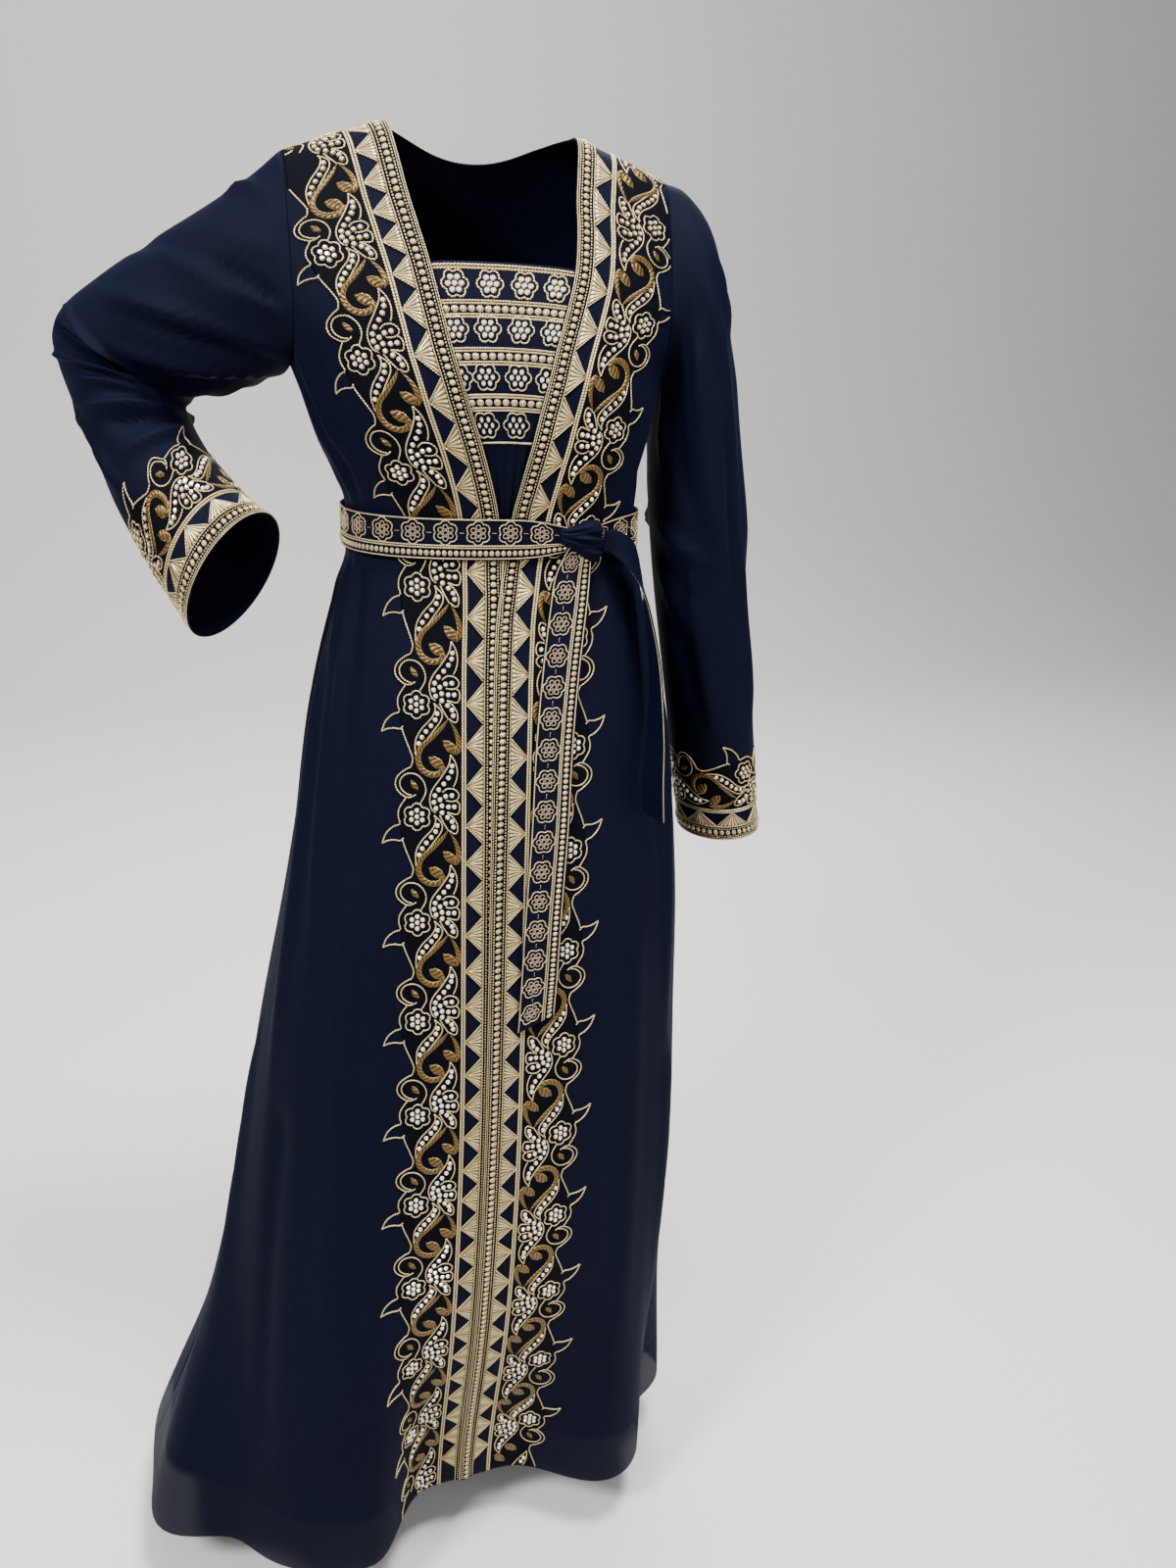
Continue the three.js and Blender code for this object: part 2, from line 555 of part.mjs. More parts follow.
// Belt round the waist, clear of the tapes under it.
function beltPoint(turn, level, off) {
  const s = sectionAt(level);
  const c = Math.cos(turn);
  const d = Math.sin(turn);
  const depth = d > 0 ? s.front : s.back;
  const x = s.half * Math.sign(c) * Math.abs(c) ** (2 / square);
  const y = -depth * Math.sign(d) * Math.abs(d) ** (2 / square);
  const nx = (Math.sign(x) * Math.abs(x / s.half) ** (square - 1)) / s.half;
  const ny = (Math.sign(y) * Math.abs(y / depth) ** (square - 1)) / depth;
  const length = Math.hypot(nx, ny);
  return new THREE.Vector3(s.cx + x + (nx / length) * off, s.cy + y + (ny / length) * off, level);
}
const beltRows = [beltTop, beltTop - beltHeight / 2, beltTop - beltHeight];
const beltRing = (off) =>
  beltRows.map((level) => {
    const row = [];
    for (let k = 0; k < 60; k += 1) row.push(beltPoint((2 * Math.PI * k) / 60, level, off));
    return row;
  });
add('belt_loop', wallGeometry(beltRing(beltClear + beltThick), beltRing(beltClear), true), beltCloth);

// A point off the left front at a place sideways, and the same for a strip across it.
function frontPoint(x, level, off) {
  const s = sectionAt(level);
  const y = (q) => s.cy - s.front * bulgeAt(s, q);
  const slope = (y(x + 2) - y(x - 2)) / 4;
  const n = new THREE.Vector3(slope, -1, 0).normalize();
  const along = new THREE.Vector3(1, slope, 0).normalize();
  return { p: new THREE.Vector3(x, y(x), level).addScaledVector(n, off), n, along };
}

function stripGeometry(rows, columns) {
  const outer = rows.map((r) => {
    const { p, n, along } = frontPoint(r.x, r.level, r.off);
    const turn = THREE.MathUtils.degToRad(r.turn);
    const lean = THREE.MathUtils.degToRad(r.lean);
    const across = along.clone().multiplyScalar(Math.cos(turn)).addScaledVector(n, -Math.sin(turn));
    across.multiplyScalar(Math.cos(lean)).add(new THREE.Vector3(0, 0, Math.sin(lean)));
    const row = [];
    for (let k = 0; k <= columns; k += 1) {
      const q = r.wide * (k / columns - 0.5);
      if (r.turn === 0 && r.lean === 0) row.push(frontPoint(r.x + q, r.level, r.off + beltThick).p);
      else row.push(p.clone().addScaledVector(across, q).addScaledVector(n, beltThick));
    }
    return row;
  });
  const normals = gridNormals(outer, false, -1);
  return wallGeometry(outer, moved(outer, normals, -beltThick));
}
add('belt_end_long', stripGeometry(longEnd, 4), beltCloth);
add('belt_end_short', stripGeometry(shortEnd, 2), beltCloth);

// Knot: a wrap whose flat back lies on the belt.
const knotLayer = (bulge) => {
  const grid = [];
  for (let i = 0; i <= 8; i += 1) {
    const v = i / 4 - 1;
    const row = [];
    for (let j = 0; j <= 10; j += 1) {
      const u = j / 5 - 1;
      const round = Math.max(0, 1 - u ** 4) ** 0.5 * Math.max(0, 1 - v ** 4) ** 0.5;
      const pinch = 1 - 0.22 * u * u;
      const x = knot.x + (knot.wide / 2) * u * (1 - 0.1 * v * v);
      const level = knot.level + (knot.tall / 2) * v * pinch - 2.5 * u;
      const off = beltClear + beltThick + seamGap + bulge * (1.2 + knot.bulge * round);
      row.push(frontPoint(x, level, off).p);
    }
    grid.push(row);
  }
  return grid;
};
add('belt_knot', wallGeometry(knotLayer(1), knotLayer(0)), beltCloth);

export default group;
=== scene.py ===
import math

import bmesh
import bpy
import numpy as np
from mathutils import Matrix, Vector


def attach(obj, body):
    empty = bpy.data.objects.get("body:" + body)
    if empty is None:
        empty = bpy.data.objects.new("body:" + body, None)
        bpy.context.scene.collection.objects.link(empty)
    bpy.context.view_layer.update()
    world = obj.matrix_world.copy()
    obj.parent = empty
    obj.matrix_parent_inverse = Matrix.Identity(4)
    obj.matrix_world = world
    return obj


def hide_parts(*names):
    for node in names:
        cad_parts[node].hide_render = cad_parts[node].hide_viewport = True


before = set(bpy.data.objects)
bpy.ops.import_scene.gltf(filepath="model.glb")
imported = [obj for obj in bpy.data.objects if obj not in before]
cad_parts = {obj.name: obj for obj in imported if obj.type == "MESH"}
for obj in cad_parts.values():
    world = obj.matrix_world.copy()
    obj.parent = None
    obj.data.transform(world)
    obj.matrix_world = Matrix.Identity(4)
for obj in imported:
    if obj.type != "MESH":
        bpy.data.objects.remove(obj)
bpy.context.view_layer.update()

# Abaya of crepe georgette with couched borders, a chest inset and a tie belt.
# Tables are in millimetres in the frame's own axes; "level" is a row's height at the front edge.

square = 2.5  # the body's sections are squarer than an ellipse
underarm = -180
neckHalf = 85
neckDepth = 50
insetUnder = 15  # the inset goes on behind each front's edge
hem = -1420
tapeWidth = 17
plainFrom = 121  # the border ends here and plain cloth begins

body = {  # sections from shoulder to hem
    "level": [0, -1.2, -5, -12, -25, -50, -85, -120, -150, -180, -215, -255, -295, -330, -368, -410,
              -470, -550, -700, -870, -1050, -1230, -1420],
    "cx": [0, 0, 0, 0, 0, 0, 0, 0, 0, 0, 2, 5, 10, 14, 14, 14, 14, 15, 8, -8, -24, -50, -86],
    "cy": [0, 0, 0, 0, 0, 0, 0, 0, 0, 0, 0, 0, 0, 0, 0, -2, -5, -8, -14, -20, -26, -31, -36],
    "half": [202, 202, 202, 203, 204, 205, 205, 199, 187, 172, 164, 156, 147, 142, 142, 150, 166, 185,
             207, 228, 249, 266, 305],
    "front": [0, 13, 25, 35, 45, 60, 76, 90, 101, 110, 116, 114, 107, 100, 98, 106, 118, 133, 153, 172,
              190, 205, 216],
    "back": [0, 15, 28, 39, 50, 67, 85, 97, 103, 106, 104, 100, 94, 89, 88, 98, 112, 128, 146, 162, 174,
             184, 194],
    "edge": [85, 84.6, 83.6, 82, 79.5, 75, 69.5, 62.5, 54.5, 46, 36, 24.5, 13.5, 5.5, 0.5, 0.5, 0.5, 0.5,
             0.5, 0.5, 0.5, 0.5, 0.5],
    "arm": [174, 174, 173.6, 173.2, 172.6, 172, 171.5, 171.4, 171.6, 172] + [172] * 13,
    "fall": [0.37, 0.37, 0.37, 0.36, 0.35, 0.32, 0.27, 0.23, 0.21, 0.2, 0.18, 0.13, 0.06, 0.01]
            + [0] * 9,
}
middle = {  # the line where the fronts meet
    "level": [0, -50, -85, -118, -150, -190, -228, -264, -326, -390, -477, -667, -881, -1131, -1420],
    "x": [0, 0, 3, 5, 3.5, 1.5, 2, 4, 6, 5, 0, -7, -14, -26, -35],
}
gathers = {  # depth of the gathers that the belt draws in
    "level": [0, -230, -296, -330, -368, -398, -470, -560, -680, -1420],
    "deep": [0, 0, 2.2, 0, 0, 3.0, 2.6, 1.2, 0, 0],
    "front": 3,
    "back": 8,
}
# Folds of the skirt: panel, distance from the front edge or centre back, half width, squareness,
# depth outwards at the hem, level where it starts.
folds = [
    ("right", 0, 96, 6, -74, -960), ("left", 0, 118, 4, -74, -960),
    ("right", 150, 60, 2, 10, -900), ("right", 285, 46, 2, -20, -820),
    ("right", 370, 42, 2, 16, -760), ("left", 176, 50, 2, 12, -900),
    ("left", 262, 38, 2, -22, -860), ("left", 330, 36, 2, 12, -760),
    ("back", -330, 44, 2, -20, -840), ("back", -245, 42, 2, 18, -700),
    ("back", -150, 48, 2, -26, -620), ("back", -55, 44, 2, 20, -720),
    ("back", 40, 46, 2, -24, -560), ("back", 132, 42, 2, 19, -680),
    ("back", 225, 46, 2, -22, -760), ("back", 318, 40, 2, 15, -820),
]
# Creases: panel, distance at the top and at the bottom, level at the top and bottom,
# half width, depth outwards.
creases = [
    ("right", 152, 176, -372, -640, 6, 1.6), ("right", 170, 205, -376, -820, 9, 2.4),
    ("right", 188, 236, -372, -560, 7, -2.0), ("right", 205, 262, -380, -1000, 11, 3.0),
    ("right", 222, 300, -372, -700, 9, -2.4), ("right", 150, 168, -640, -1320, 15, 2.2),
    ("right", 232, 258, -900, -1400, 14, -3.0), ("right", 318, 345, -600, -1400, 13, 2.8),
    ("right", 140, 150, -120, -330, 8, 1.8), ("right", 152, 138, -200, -330, 6, -1.6),
    ("right", 166, 160, -150, -320, 9, 2.0), ("right", 140, 128, -60, -170, 9, 1.4),
    ("left", 146, 160, -374, -560, 7, 1.8), ("left", 160, 196, -372, -760, 9, -2.2),
    ("left", 176, 226, -378, -980, 11, 2.8), ("left", 196, 250, -372, -620, 8, 2.2),
    ("left", 210, 292, -380, -880, 10, -2.6), ("left", 150, 160, -700, -1380, 14, 2.0),
    ("left", 222, 240, -880, -1400, 13, 2.6), ("left", 144, 132, -110, -325, 8, 1.8),
    ("left", 160, 150, -190, -330, 7, -1.8), ("left", 134, 128, -60, -190, 9, 1.6),
    ("back", -18, -32, -374, -900, 10, 2.6), ("back", 26, 40, -372, -640, 8, -2.2),
    ("back", 62, 92, -378, -1000, 11, 2.8), ("back", -64, -100, -372, -760, 9, -2.4),
    ("back", 112, 158, -374, -860, 10, 2.6), ("back", -116, -172, -378, -1040, 12, 3.0),
    ("back", 156, 226, -372, -640, 9, -2.2), ("back", -168, -236, -374, -700, 9, 2.2),
    ("back", 10, 0, -150, -330, 12, 2.2), ("back", 58, 44, -120, -328, 10, -1.8),
    ("back", -48, -40, -160, -330, 9, 2.0), ("back", -104, -84, -100, -330, 12, 2.4),
    ("back", 112, 92, -140, -330, 11, 2.2), ("back", 150, 118, -60, -300, 12, -2.0),
    ("back", -150, -128, -40, -250, 12, 2.0),
]
bentSleeve = {  # outer and inner point of each ring and its half depth
    "outer": [(-205, 16, -57), (-242, 36, -81), (-284, 62, -107), (-326, 88, -136), (-360, 108, -164),
              (-374, 112, -194), (-370, 102, -226), (-358, 82, -260), (-342, 54, -300),
              (-324, 28, -346), (-297, 0, -396), (-264, -36, -447)],
    "inner": [(-177, 5, -213), (-203, 20, -221), (-235, 35, -230), (-256, 46, -236), (-267, 50, -241),
              (-271, 45, -248), (-268, 36, -256), (-262, 22, -269), (-251, 6, -287), (-236, -14, -306),
              (-220, -31, -322), (-204, -48, -333)],
    "deep": [64, 66, 66, 65, 64, 62, 60, 58, 56, 55, 54, 52],
}
hangingSleeve = {
    "outer": [(200, 2, -41), (221, 2, -68), (238, 1, -118), (250, 0, -184), (263, -2, -258),
              (275, -5, -342), (287, -8, -425), (299, -10, -505), (311, -11, -582), (319, -11, -642),
              (326, -10, -686)],
    "inner": [(175.5, 2, -210), (178, 2, -214), (180, 1, -224), (181, 0, -246), (180, -2, -284),
              (183, -5, -342), (192, -8, -418), (205, -10, -500), (218, -11, -582), (228, -11, -644),
              (237, -10, -689)],
    "deep": [62, 64, 66, 66, 64, 62, 59, 56, 53, 50, 49],
}
belt = {"top": -330, "height": 38, "thick": 2.0, "clear": 2.2}
longEnd = {  # each row's level, place sideways, distance off the cloth, turn, lean and width
    "level": [-353, -364, -384, -410, -470, -540, -620, -700, -768, -812],
    "x": [76, 75, 70, 65.5, 56, 47.5, 41.5, 34, 28.5, 24.5],
    "off": [5.6, 5.2, 5.0, 4.4, 3.4, 3.2, 3.2, 3.2, 3.2, 3.4],
    "turn": [0] * 10,
    "lean": [0] * 10,
    "wide": [16, 27, 36, 38, 38, 38, 38, 38, 38, 38],
}
shortEnd = {
    "level": [-352, -353, -360, -374, -396, -428, -470, -530, -580, -614],
    "x": [100.8, 108, 117, 125, 131, 136, 141, 141, 137, 137],
    "off": [4.9, 7, 12, 17, 20, 21, 21, 21, 22, 22],
    "turn": [0, 0, 8, 24, 34, 44, 54, 68, 78, 80],
    "lean": [82, 68, 46, 24, 8, 0, 0, 0, 0, 0],
    "wide": [20, 22, 26, 32, 36, 38, 38, 38, 38, 38],
}
knot = {"x": 79, "level": -351, "wide": 42, "tall": 38, "bulge": 14}

bodyLevels = [0, -0.15, -0.4, -0.8, -1.2, -2, -3.2, -5, -8, -12, -18, -25, -33, -41]
bodyLevels += list(range(-50, -150, -8)) + [-150, -157, -163, -168, -172, -175.5, -178, -179.4, -180]
bodyLevels += list(range(-187, -1416, -8)) + [hem]
underarmRow = bodyLevels.index(underarm)
forwards, sideways = Vector((0, -1, 0)), Vector((-1, 0, 0))


# Values and shapes.

def ease(t):
    t = np.clip(t, 0, 1)
    return t * t * (3 - 2 * t)


def valueAt(table, name, level):  # smooth value of one column; levels fall down the table
    x = -np.array(table["level"], float)
    y = np.array(table[name], float)
    rise = np.diff(y) / np.diff(x)
    slope = np.r_[rise[0], np.zeros(len(rise) - 1), rise[-1]]
    a, b = rise[:-1], rise[1:]
    same = a * b > 0
    slope[1:-1][same] = 2 * a[same] * b[same] / (a[same] + b[same])
    at = np.clip(-np.asarray(level, float), x[0], x[-1])
    i = np.clip(np.searchsorted(x, at, side="right") - 1, 0, len(x) - 2)
    span = x[i + 1] - x[i]
    t = (at - x[i]) / span
    h = t * t * (3 - 2 * t)
    return y[i] + (y[i + 1] - y[i]) * h + span * t * (1 - t) * ((1 - t) * slope[i] - t * slope[i + 1])


def sectionAt(level):
    s = {name: float(valueAt(body, name, level)) for name in body if name != "level"}
    s["mid"] = float(valueAt(middle, "x", level))
    return s


def fallAt(s, x):  # fall of a row below its level
    d = np.abs(x - s["mid"]) - s["edge"]
    return s["fall"] * 0.5 * (d + np.sqrt(d * d + 576))


def bulgeAt(s, x):
    return np.maximum(0, 1 - np.minimum(1, np.abs(x - s["cx"]) / s["half"]) ** square) ** (1 / square)


def foldOut(panel, distance, level):
    out = np.zeros_like(distance)
    for name, at, spread, power, deep, start in folds:
        if name == panel and level < start:
            grow = float(ease((start - level) / (start - hem)))
            shape = np.exp(-(np.abs((distance - at) / spread) ** power))
            out += deep * shape * (0.35 * grow + 0.65 * grow * grow)
    return out


creaseGain = {"panel": 2.2, "sleeve": 1.55}  # times the depths in the tables


def creaseOut(panel, distance, level):
    out = np.zeros_like(distance)
    for name, first, last, top, bottom, spread, deep in creases:
        if name == panel and bottom < level < top:
            t = (top - level) / (top - bottom)
            way = first + (last - first) * t + 3 * math.sin(5 * t + first)
            fade = float(ease(t * 9) * ease((1 - t) * 2.2))
            out += creaseGain["panel"] * deep * fade * np.exp(-(((distance - way) / spread) ** 2))
    return out


def unit(v):
    return v / np.maximum(np.linalg.norm(v, axis=-1, keepdims=True), 1e-9)


def rowLine(level, side, face):  # fine line of one half of a row, and its length so far
    s = sectionAt(level)
    depth = s["front"] if face < 0 else s["back"]
    start = side * (s["mid"] - s["cx"]) + s["edge"] if face < 0 else -side * s["cx"]
    end = s["arm"] - side * s["cx"] if level > underarm else s["half"]
    turns = [math.acos(math.copysign(min(1, abs(x) / s["half"]) ** (square / 2), x)) for x in (start, end)]
    a = np.linspace(*turns, 200)
    c = np.cos(a)
    x = s["cx"] + side * s["half"] * np.sign(c) * np.abs(c) ** (2 / square)
    y = s["cy"] + face * (depth * np.maximum(0, np.sin(a)) ** (2 / square) - 0.1)
    p = np.stack([x, y], 1)
    d = unit(np.vstack([p[1:], p[-1:]]) - np.vstack([p[:1], p[:-1]]))
    n = np.stack([d[:, 1], -d[:, 0]], 1)
    n *= np.where(n[:, 1:] * face > 0, 1, -1) * np.ones((1, 2))
    flatEnds = np.abs(n[:, 1]) < 1e-6
    n[flatEnds, 0] = side
    along = np.r_[0, np.cumsum(np.linalg.norm(np.diff(p, axis=0), axis=1))]
    run = along[-1]
    panel = "back" if face > 0 else "right" if side < 0 else "left"
    signed = side * along if face > 0 else along
    out = foldOut(panel, signed, level) * (1 - ease((along - run + 40) / 40))
    deep = float(valueAt(gathers, "deep", level))
    if face < 0:
        share = np.maximum(0, (along - plainFrom) / max(run - plainFrom, 1))
        waves = np.sin(2 * np.pi * gathers["front"] * share) * np.sin(np.pi * share)
        out += np.where(along > plainFrom, deep * waves, 0)
    else:
        share = along / run
        out += deep * np.sin(np.pi * gathers["back"] * share) * np.sin(np.pi * share)
    out += creaseOut(panel, signed, level) * ease((run - along) / 12)
    line = np.column_stack([p + n * out[:, None], level - fallAt(s, x)])
    return line, np.r_[0, np.cumsum(np.linalg.norm(np.diff(line[:, :2], axis=0), axis=1))]


def pick(line, run, distances):
    return np.stack([np.interp(distances, run, line[:, k]) for k in range(3)], 1)


def arcs(points):  # length so far along a line of points
    return np.r_[0, np.cumsum(np.linalg.norm(np.diff(points, axis=0), axis=1))]


def between(a, b, c, d, t):  # a smooth curve from b to c
    return 0.5 * (2 * b + (c - a) * t + (2 * a - 5 * b + 4 * c - d) * t ** 2
                  + (3 * b - a - 3 * c + d) * t ** 3)


def smoothPath(points, step, closed=False):  # a smooth line through the points, evenly stepped
    p = np.array(points, float)
    if closed:
        p = np.vstack([p[-1:], p, p[:2]])
    else:
        p = np.vstack([2 * p[:1] - p[1:2], p, 2 * p[-1:] - p[-2:-1]])
    fine = []
    for i in range(1, len(p) - 2):
        t = np.linspace(0, 1, 24, endpoint=False)[:, None]
        fine.append(between(*p[i - 1:i + 3], t))
    fine = np.vstack(fine + [p[-2:-1]])
    run = arcs(fine)
    count = max(3, int(round(run[-1] / step)) + 1)
    at = np.linspace(0, run[-1], count)
    line = np.stack([np.interp(at, run, fine[:, k]) for k in range(p.shape[1])], 1)
    return line[:-1] if closed else line


def smoothRows(rows, parts):  # rows of points, with smooth rows added between them
    p = np.concatenate([2 * rows[:1] - rows[1:2], rows, 2 * rows[-1:] - rows[-2:-1]])
    out = []
    for i in range(1, len(p) - 2):
        out += [between(*p[i - 1:i + 3], t) for t in np.linspace(0, 1, parts, endpoint=False)]
    return np.stack(out + [p[-2]])


def gridNormals(grid, hint, around=False):  # unit normals of a grid, towards hint at its middle
    if around:
        across = np.roll(grid, -1, 1) - np.roll(grid, 1, 1)
    else:
        across = np.gradient(grid, axis=1)
    n = unit(np.cross(across, np.gradient(grid, axis=0)))
    mid = n[n.shape[0] // 2, n.shape[1] // 2]
    return n * (1 if np.dot(mid, hint) > 0 else -1)


# Materials.

def linearColour(code):  # sRGB hex to linear
    parts = [int(code[i:i + 2], 16) / 255 for i in (1, 3, 5)]
    return [c / 12.92 if c <= 0.04045 else ((c + 0.055) / 1.055) ** 2.4 for c in parts] + [1.0]


def addNode(tree, kind, values=None, links=None, **settings):  # one node, its settings and links
    node = tree.nodes.new(kind)
    for name, value in settings.items():
        setattr(node, name, value)
    for name, value in (values or {}).items():
        node.inputs[name].default_value = value
    for name, source in (links or {}).items():
        tree.links.new(source, node.inputs[name])
    return node


def newMaterial(name, **sockets):
    material = bpy.data.materials.new(name)
    material.use_nodes = True
    tree = material.node_tree
    shader = tree.nodes["Principled BSDF"]
    for socket, value in sockets.items():
        shader.inputs[socket.replace("_", " ")].default_value = value
    return material, tree, shader


def mixColours(tree, factor, first, second):
    mix = addNode(tree, "ShaderNodeMix", {"Factor": 0.5}, {0: factor}, data_type="RGBA")
    for slot, colour in ((6, first), (7, second)):
        if isinstance(colour, str):
            mix.inputs[slot].default_value = linearColour(colour)
        else:
            tree.links.new(colour, mix.inputs[slot])
    return mix.outputs[2]


def clothMaterial(name, look):  # hard-twisted yarn: a matt, finely pebbled face with a faint bloom
    material, tree, shader = newMaterial(
        name, Roughness=look["rough"], Sheen_Weight=look["sheen"], Sheen_Roughness=0.45,
        Sheen_Tint=linearColour(look["tint"]), Specular_IOR_Level=0.04)
    uv = addNode(tree, "ShaderNodeTexCoord").outputs["UV"]
    grain = addNode(tree, "ShaderNodeTexNoise", {"Scale": 1000 / look["grain"], "Detail": 2.0},
                    {"Vector": uv})
    streaks = addNode(tree, "ShaderNodeMapping", {"Scale": (1000 / look["yarn"], 1000 / look["slub"], 1)},
                      {"Vector": uv})
    yarn = addNode(tree, "ShaderNodeTexNoise", {"Scale": 1.0, "Detail": 3.0},
                   {"Vector": streaks.outputs["Vector"]})
    cloud = addNode(tree, "ShaderNodeTexNoise", {"Scale": 1000 / look["cloud"], "Detail": 2.0},
                    {"Vector": uv})
    shade = mixColours(tree, yarn.outputs["Fac"], look["deep"], look["lit"])
    shade = mixColours(tree, cloud.outputs["Fac"], shade, look["base"])
    tree.links.new(shade, shader.inputs["Base Color"])
    both = addNode(tree, "ShaderNodeMath", {1: 0.6}, {0: yarn.outputs["Fac"]}, operation="MULTIPLY")
    both = addNode(tree, "ShaderNodeMath", {}, {0: both.outputs[0], 1: grain.outputs["Fac"]}, operation="ADD")
    bump = addNode(tree, "ShaderNodeBump", {"Strength": look["bump"], "Distance": 0.0004},
                   {"Height": both.outputs[0]})
    tree.links.new(bump.outputs["Normal"], shader.inputs["Normal"])
    if look.get("sheer"):  # the under layer stops short of the hem, so the last strip lets light through
        place = addNode(tree, "ShaderNodeTexCoord").outputs["Object"]
        height = addNode(tree, "ShaderNodeSeparateXYZ", {}, {0: place}).outputs["Z"]
        low, high = (level / 1000 for level in look["strip"])
        clear = addNode(tree, "ShaderNodeMapRange", {"From Min": low, "From Max": high,
                                                     "To Min": look["sheer"], "To Max": 1.0},
                        {"Value": height})
        tree.links.new(clear.outputs["Result"], shader.inputs["Alpha"])
    return material


def threadMaterial(name, look):  # laid thread: fine ribs across the stitch, with a painted highlight on each rib and painted shade between them
    material, tree, shader = newMaterial(name, Metallic=look["metal"], Roughness=look["rough"],
                                         Specular_IOR_Level=0.5)
    uv = addNode(tree, "ShaderNodeTexCoord").outputs["UV"]  # millimetres along, share of the half width
    turned = addNode(tree, "ShaderNodeMapping", {"Scale": (1 / look["pitch"], look["slant"], 1)},
                     {"Vector": uv})
    ribs = addNode(tree, "ShaderNodeTexWave", {"Scale": bandPerUnit, "Distortion": 0.6, "Detail": 1.0},
                   {"Vector": turned.outputs["Vector"]}, bands_direction="DIAGONAL" if look["slant"] else "X")
    mottle = addNode(tree, "ShaderNodeTexNoise", {"Scale": 0.35, "Detail": 2.0}, {"Vector": uv})
    soft = addNode(tree, "ShaderNodeMapRange", {"From Min": 0.3, "From Max": 0.7, "To Max": 0.3},
                   {"Value": mottle.outputs["Fac"]})
    # Painted light: the ribs' wave puts the dark colour between the ribs as painted shade and the pale one on
    # them as painted highlight.
    shade = mixColours(tree, ribs.outputs["Fac"], look["deep"], look["lit"])
    shade = mixColours(tree, soft.outputs["Result"], shade, look["base"])
    if look.get("rim"):  # the outer threads of a scroll are paler
        across = addNode(tree, "ShaderNodeSeparateXYZ", {}, {0: uv}).outputs["Y"]
        off = addNode(tree, "ShaderNodeMath", {}, {0: across}, operation="ABSOLUTE").outputs[0]
        edge = addNode(tree, "ShaderNodeMapRange", {"From Min": 0.76, "From Max": 0.9}, {"Value": off})
        shade = mixColours(tree, edge.outputs["Result"], shade, look["rim"])
    tree.links.new(shade, shader.inputs["Base Color"])
    bump = addNode(tree, "ShaderNodeBump", {"Strength": look["bump"], "Distance": 0.0005},
                   {"Height": ribs.outputs["Fac"]})
    tree.links.new(bump.outputs["Normal"], shader.inputs["Normal"])
    return material


def pressedMaterial(name, codes, **sockets):  # small tilts, so that stones glint one by one; the same spots lighten some of them, a painted glint on the glass
    material, tree, shader = newMaterial(name, **sockets)
    where = addNode(tree, "ShaderNodeTexCoord").outputs["Object"]
    spots = addNode(tree, "ShaderNodeTexNoise", {"Scale": 1000 / stonePatch}, {"Vector": where})
    # Painted glint on the glass: the spots mix in the lighter colour, so some stones look brighter as if they
    # caught the light.
    tree.links.new(mixColours(tree, spots.outputs["Fac"], *codes), shader.inputs["Base Color"])
    tilt = addNode(tree, "ShaderNodeBump", {"Strength": 0.7, "Distance": 0.0008},
                   {"Height": spots.outputs["Fac"]})
    tree.links.new(tilt.outputs["Normal"], shader.inputs["Normal"])
    return material


bandPerUnit = 0.314  # a wave texture at this scale draws one band for each unit
stonePatch = 4  # millimetres, about one and a half stones
# Georgette: grain, yarn, slub and cloud in millimetres. Real yarns lie 0.35 mm apart and are drawn
# four times as coarse, so that the pebbled face shows; cloud is the uneven dye over a hand's width.
clothLook = {"base": "#060816", "deep": "#03050f", "lit": "#0a0e23", "tint": "#3a4684", "rough": 0.7,
             "sheen": 0.06, "grain": 1.6, "yarn": 1.4, "slub": 26, "cloud": 110, "bump": 0.35}
georgette = clothMaterial(  # soft, matt navy with a see-through strip at the hem
    "georgette crepe woven", {**clothLook, "sheer": 0.8, "strip": (-1362, -1352)})
beltCloth = clothMaterial(  # the same crepe stretched flat over a stiffener: a little smoother
    "belt crepe woven", {**clothLook, "base": "#050815", "rough": 0.62})
ground = clothMaterial(  # close black stitches: dull and deep, so the pale threads stand off it
    "embroidery ground close stitched",
    {**clothLook, "base": "#030409", "deep": "#020306", "lit": "#05070e", "sheen": 0.02, "grain": 1.1,
     "bump": 0.6})
# Threads: pitch is from rib to rib in millimetres. Real threads are 0.3 to 0.5 mm thick and are drawn
# three to five times as coarse, so that the ribs show.
# In each look below, deep and lit are the thread's colour with painted shade between the ribs and a painted
# highlight on them.
creamCord = threadMaterial("metallic cord couched", {  # twisted pale gold cord: slanted glints, painted as a highlight along each rib
    "base": "#ac9462", "deep": "#58472a", "lit": "#f1dea9", "metal": 0.5, "rough": 0.34, "pitch": 1.3,
    "slant": 0.6, "bump": 0.7})
creamSatin = threadMaterial("cream satin stitch", {  # long fanned stitches: silky, with a painted highlight on the ribs and painted shade between
    "base": "#7a6436", "deep": "#21180b", "lit": "#edd79f", "metal": 0.5, "rough": 0.34, "pitch": 2.5,
    "slant": 0, "bump": 0.9})
goldSatin = threadMaterial("antique gold satin stitch", {  # old gold thread: warm brown with a pale rim, and painted shade and highlight on the ribs
    "base": "#4d380f", "deep": "#281b07", "lit": "#755821", "metal": 0.4, "rough": 0.36, "pitch": 2.2,
    "slant": 1.2, "bump": 0.9, "rim": "#937b3e"})
duskThread = threadMaterial("dusky thread chain stitch", {  # dry cotton thread: dull rose beige, with painted shade and highlight on the ribs
    "base": "#a0886a", "deep": "#665340", "lit": "#c8b090", "metal": 0.25, "rough": 0.45, "pitch": 1.3,
    "slant": 0.6, "bump": 0.6})
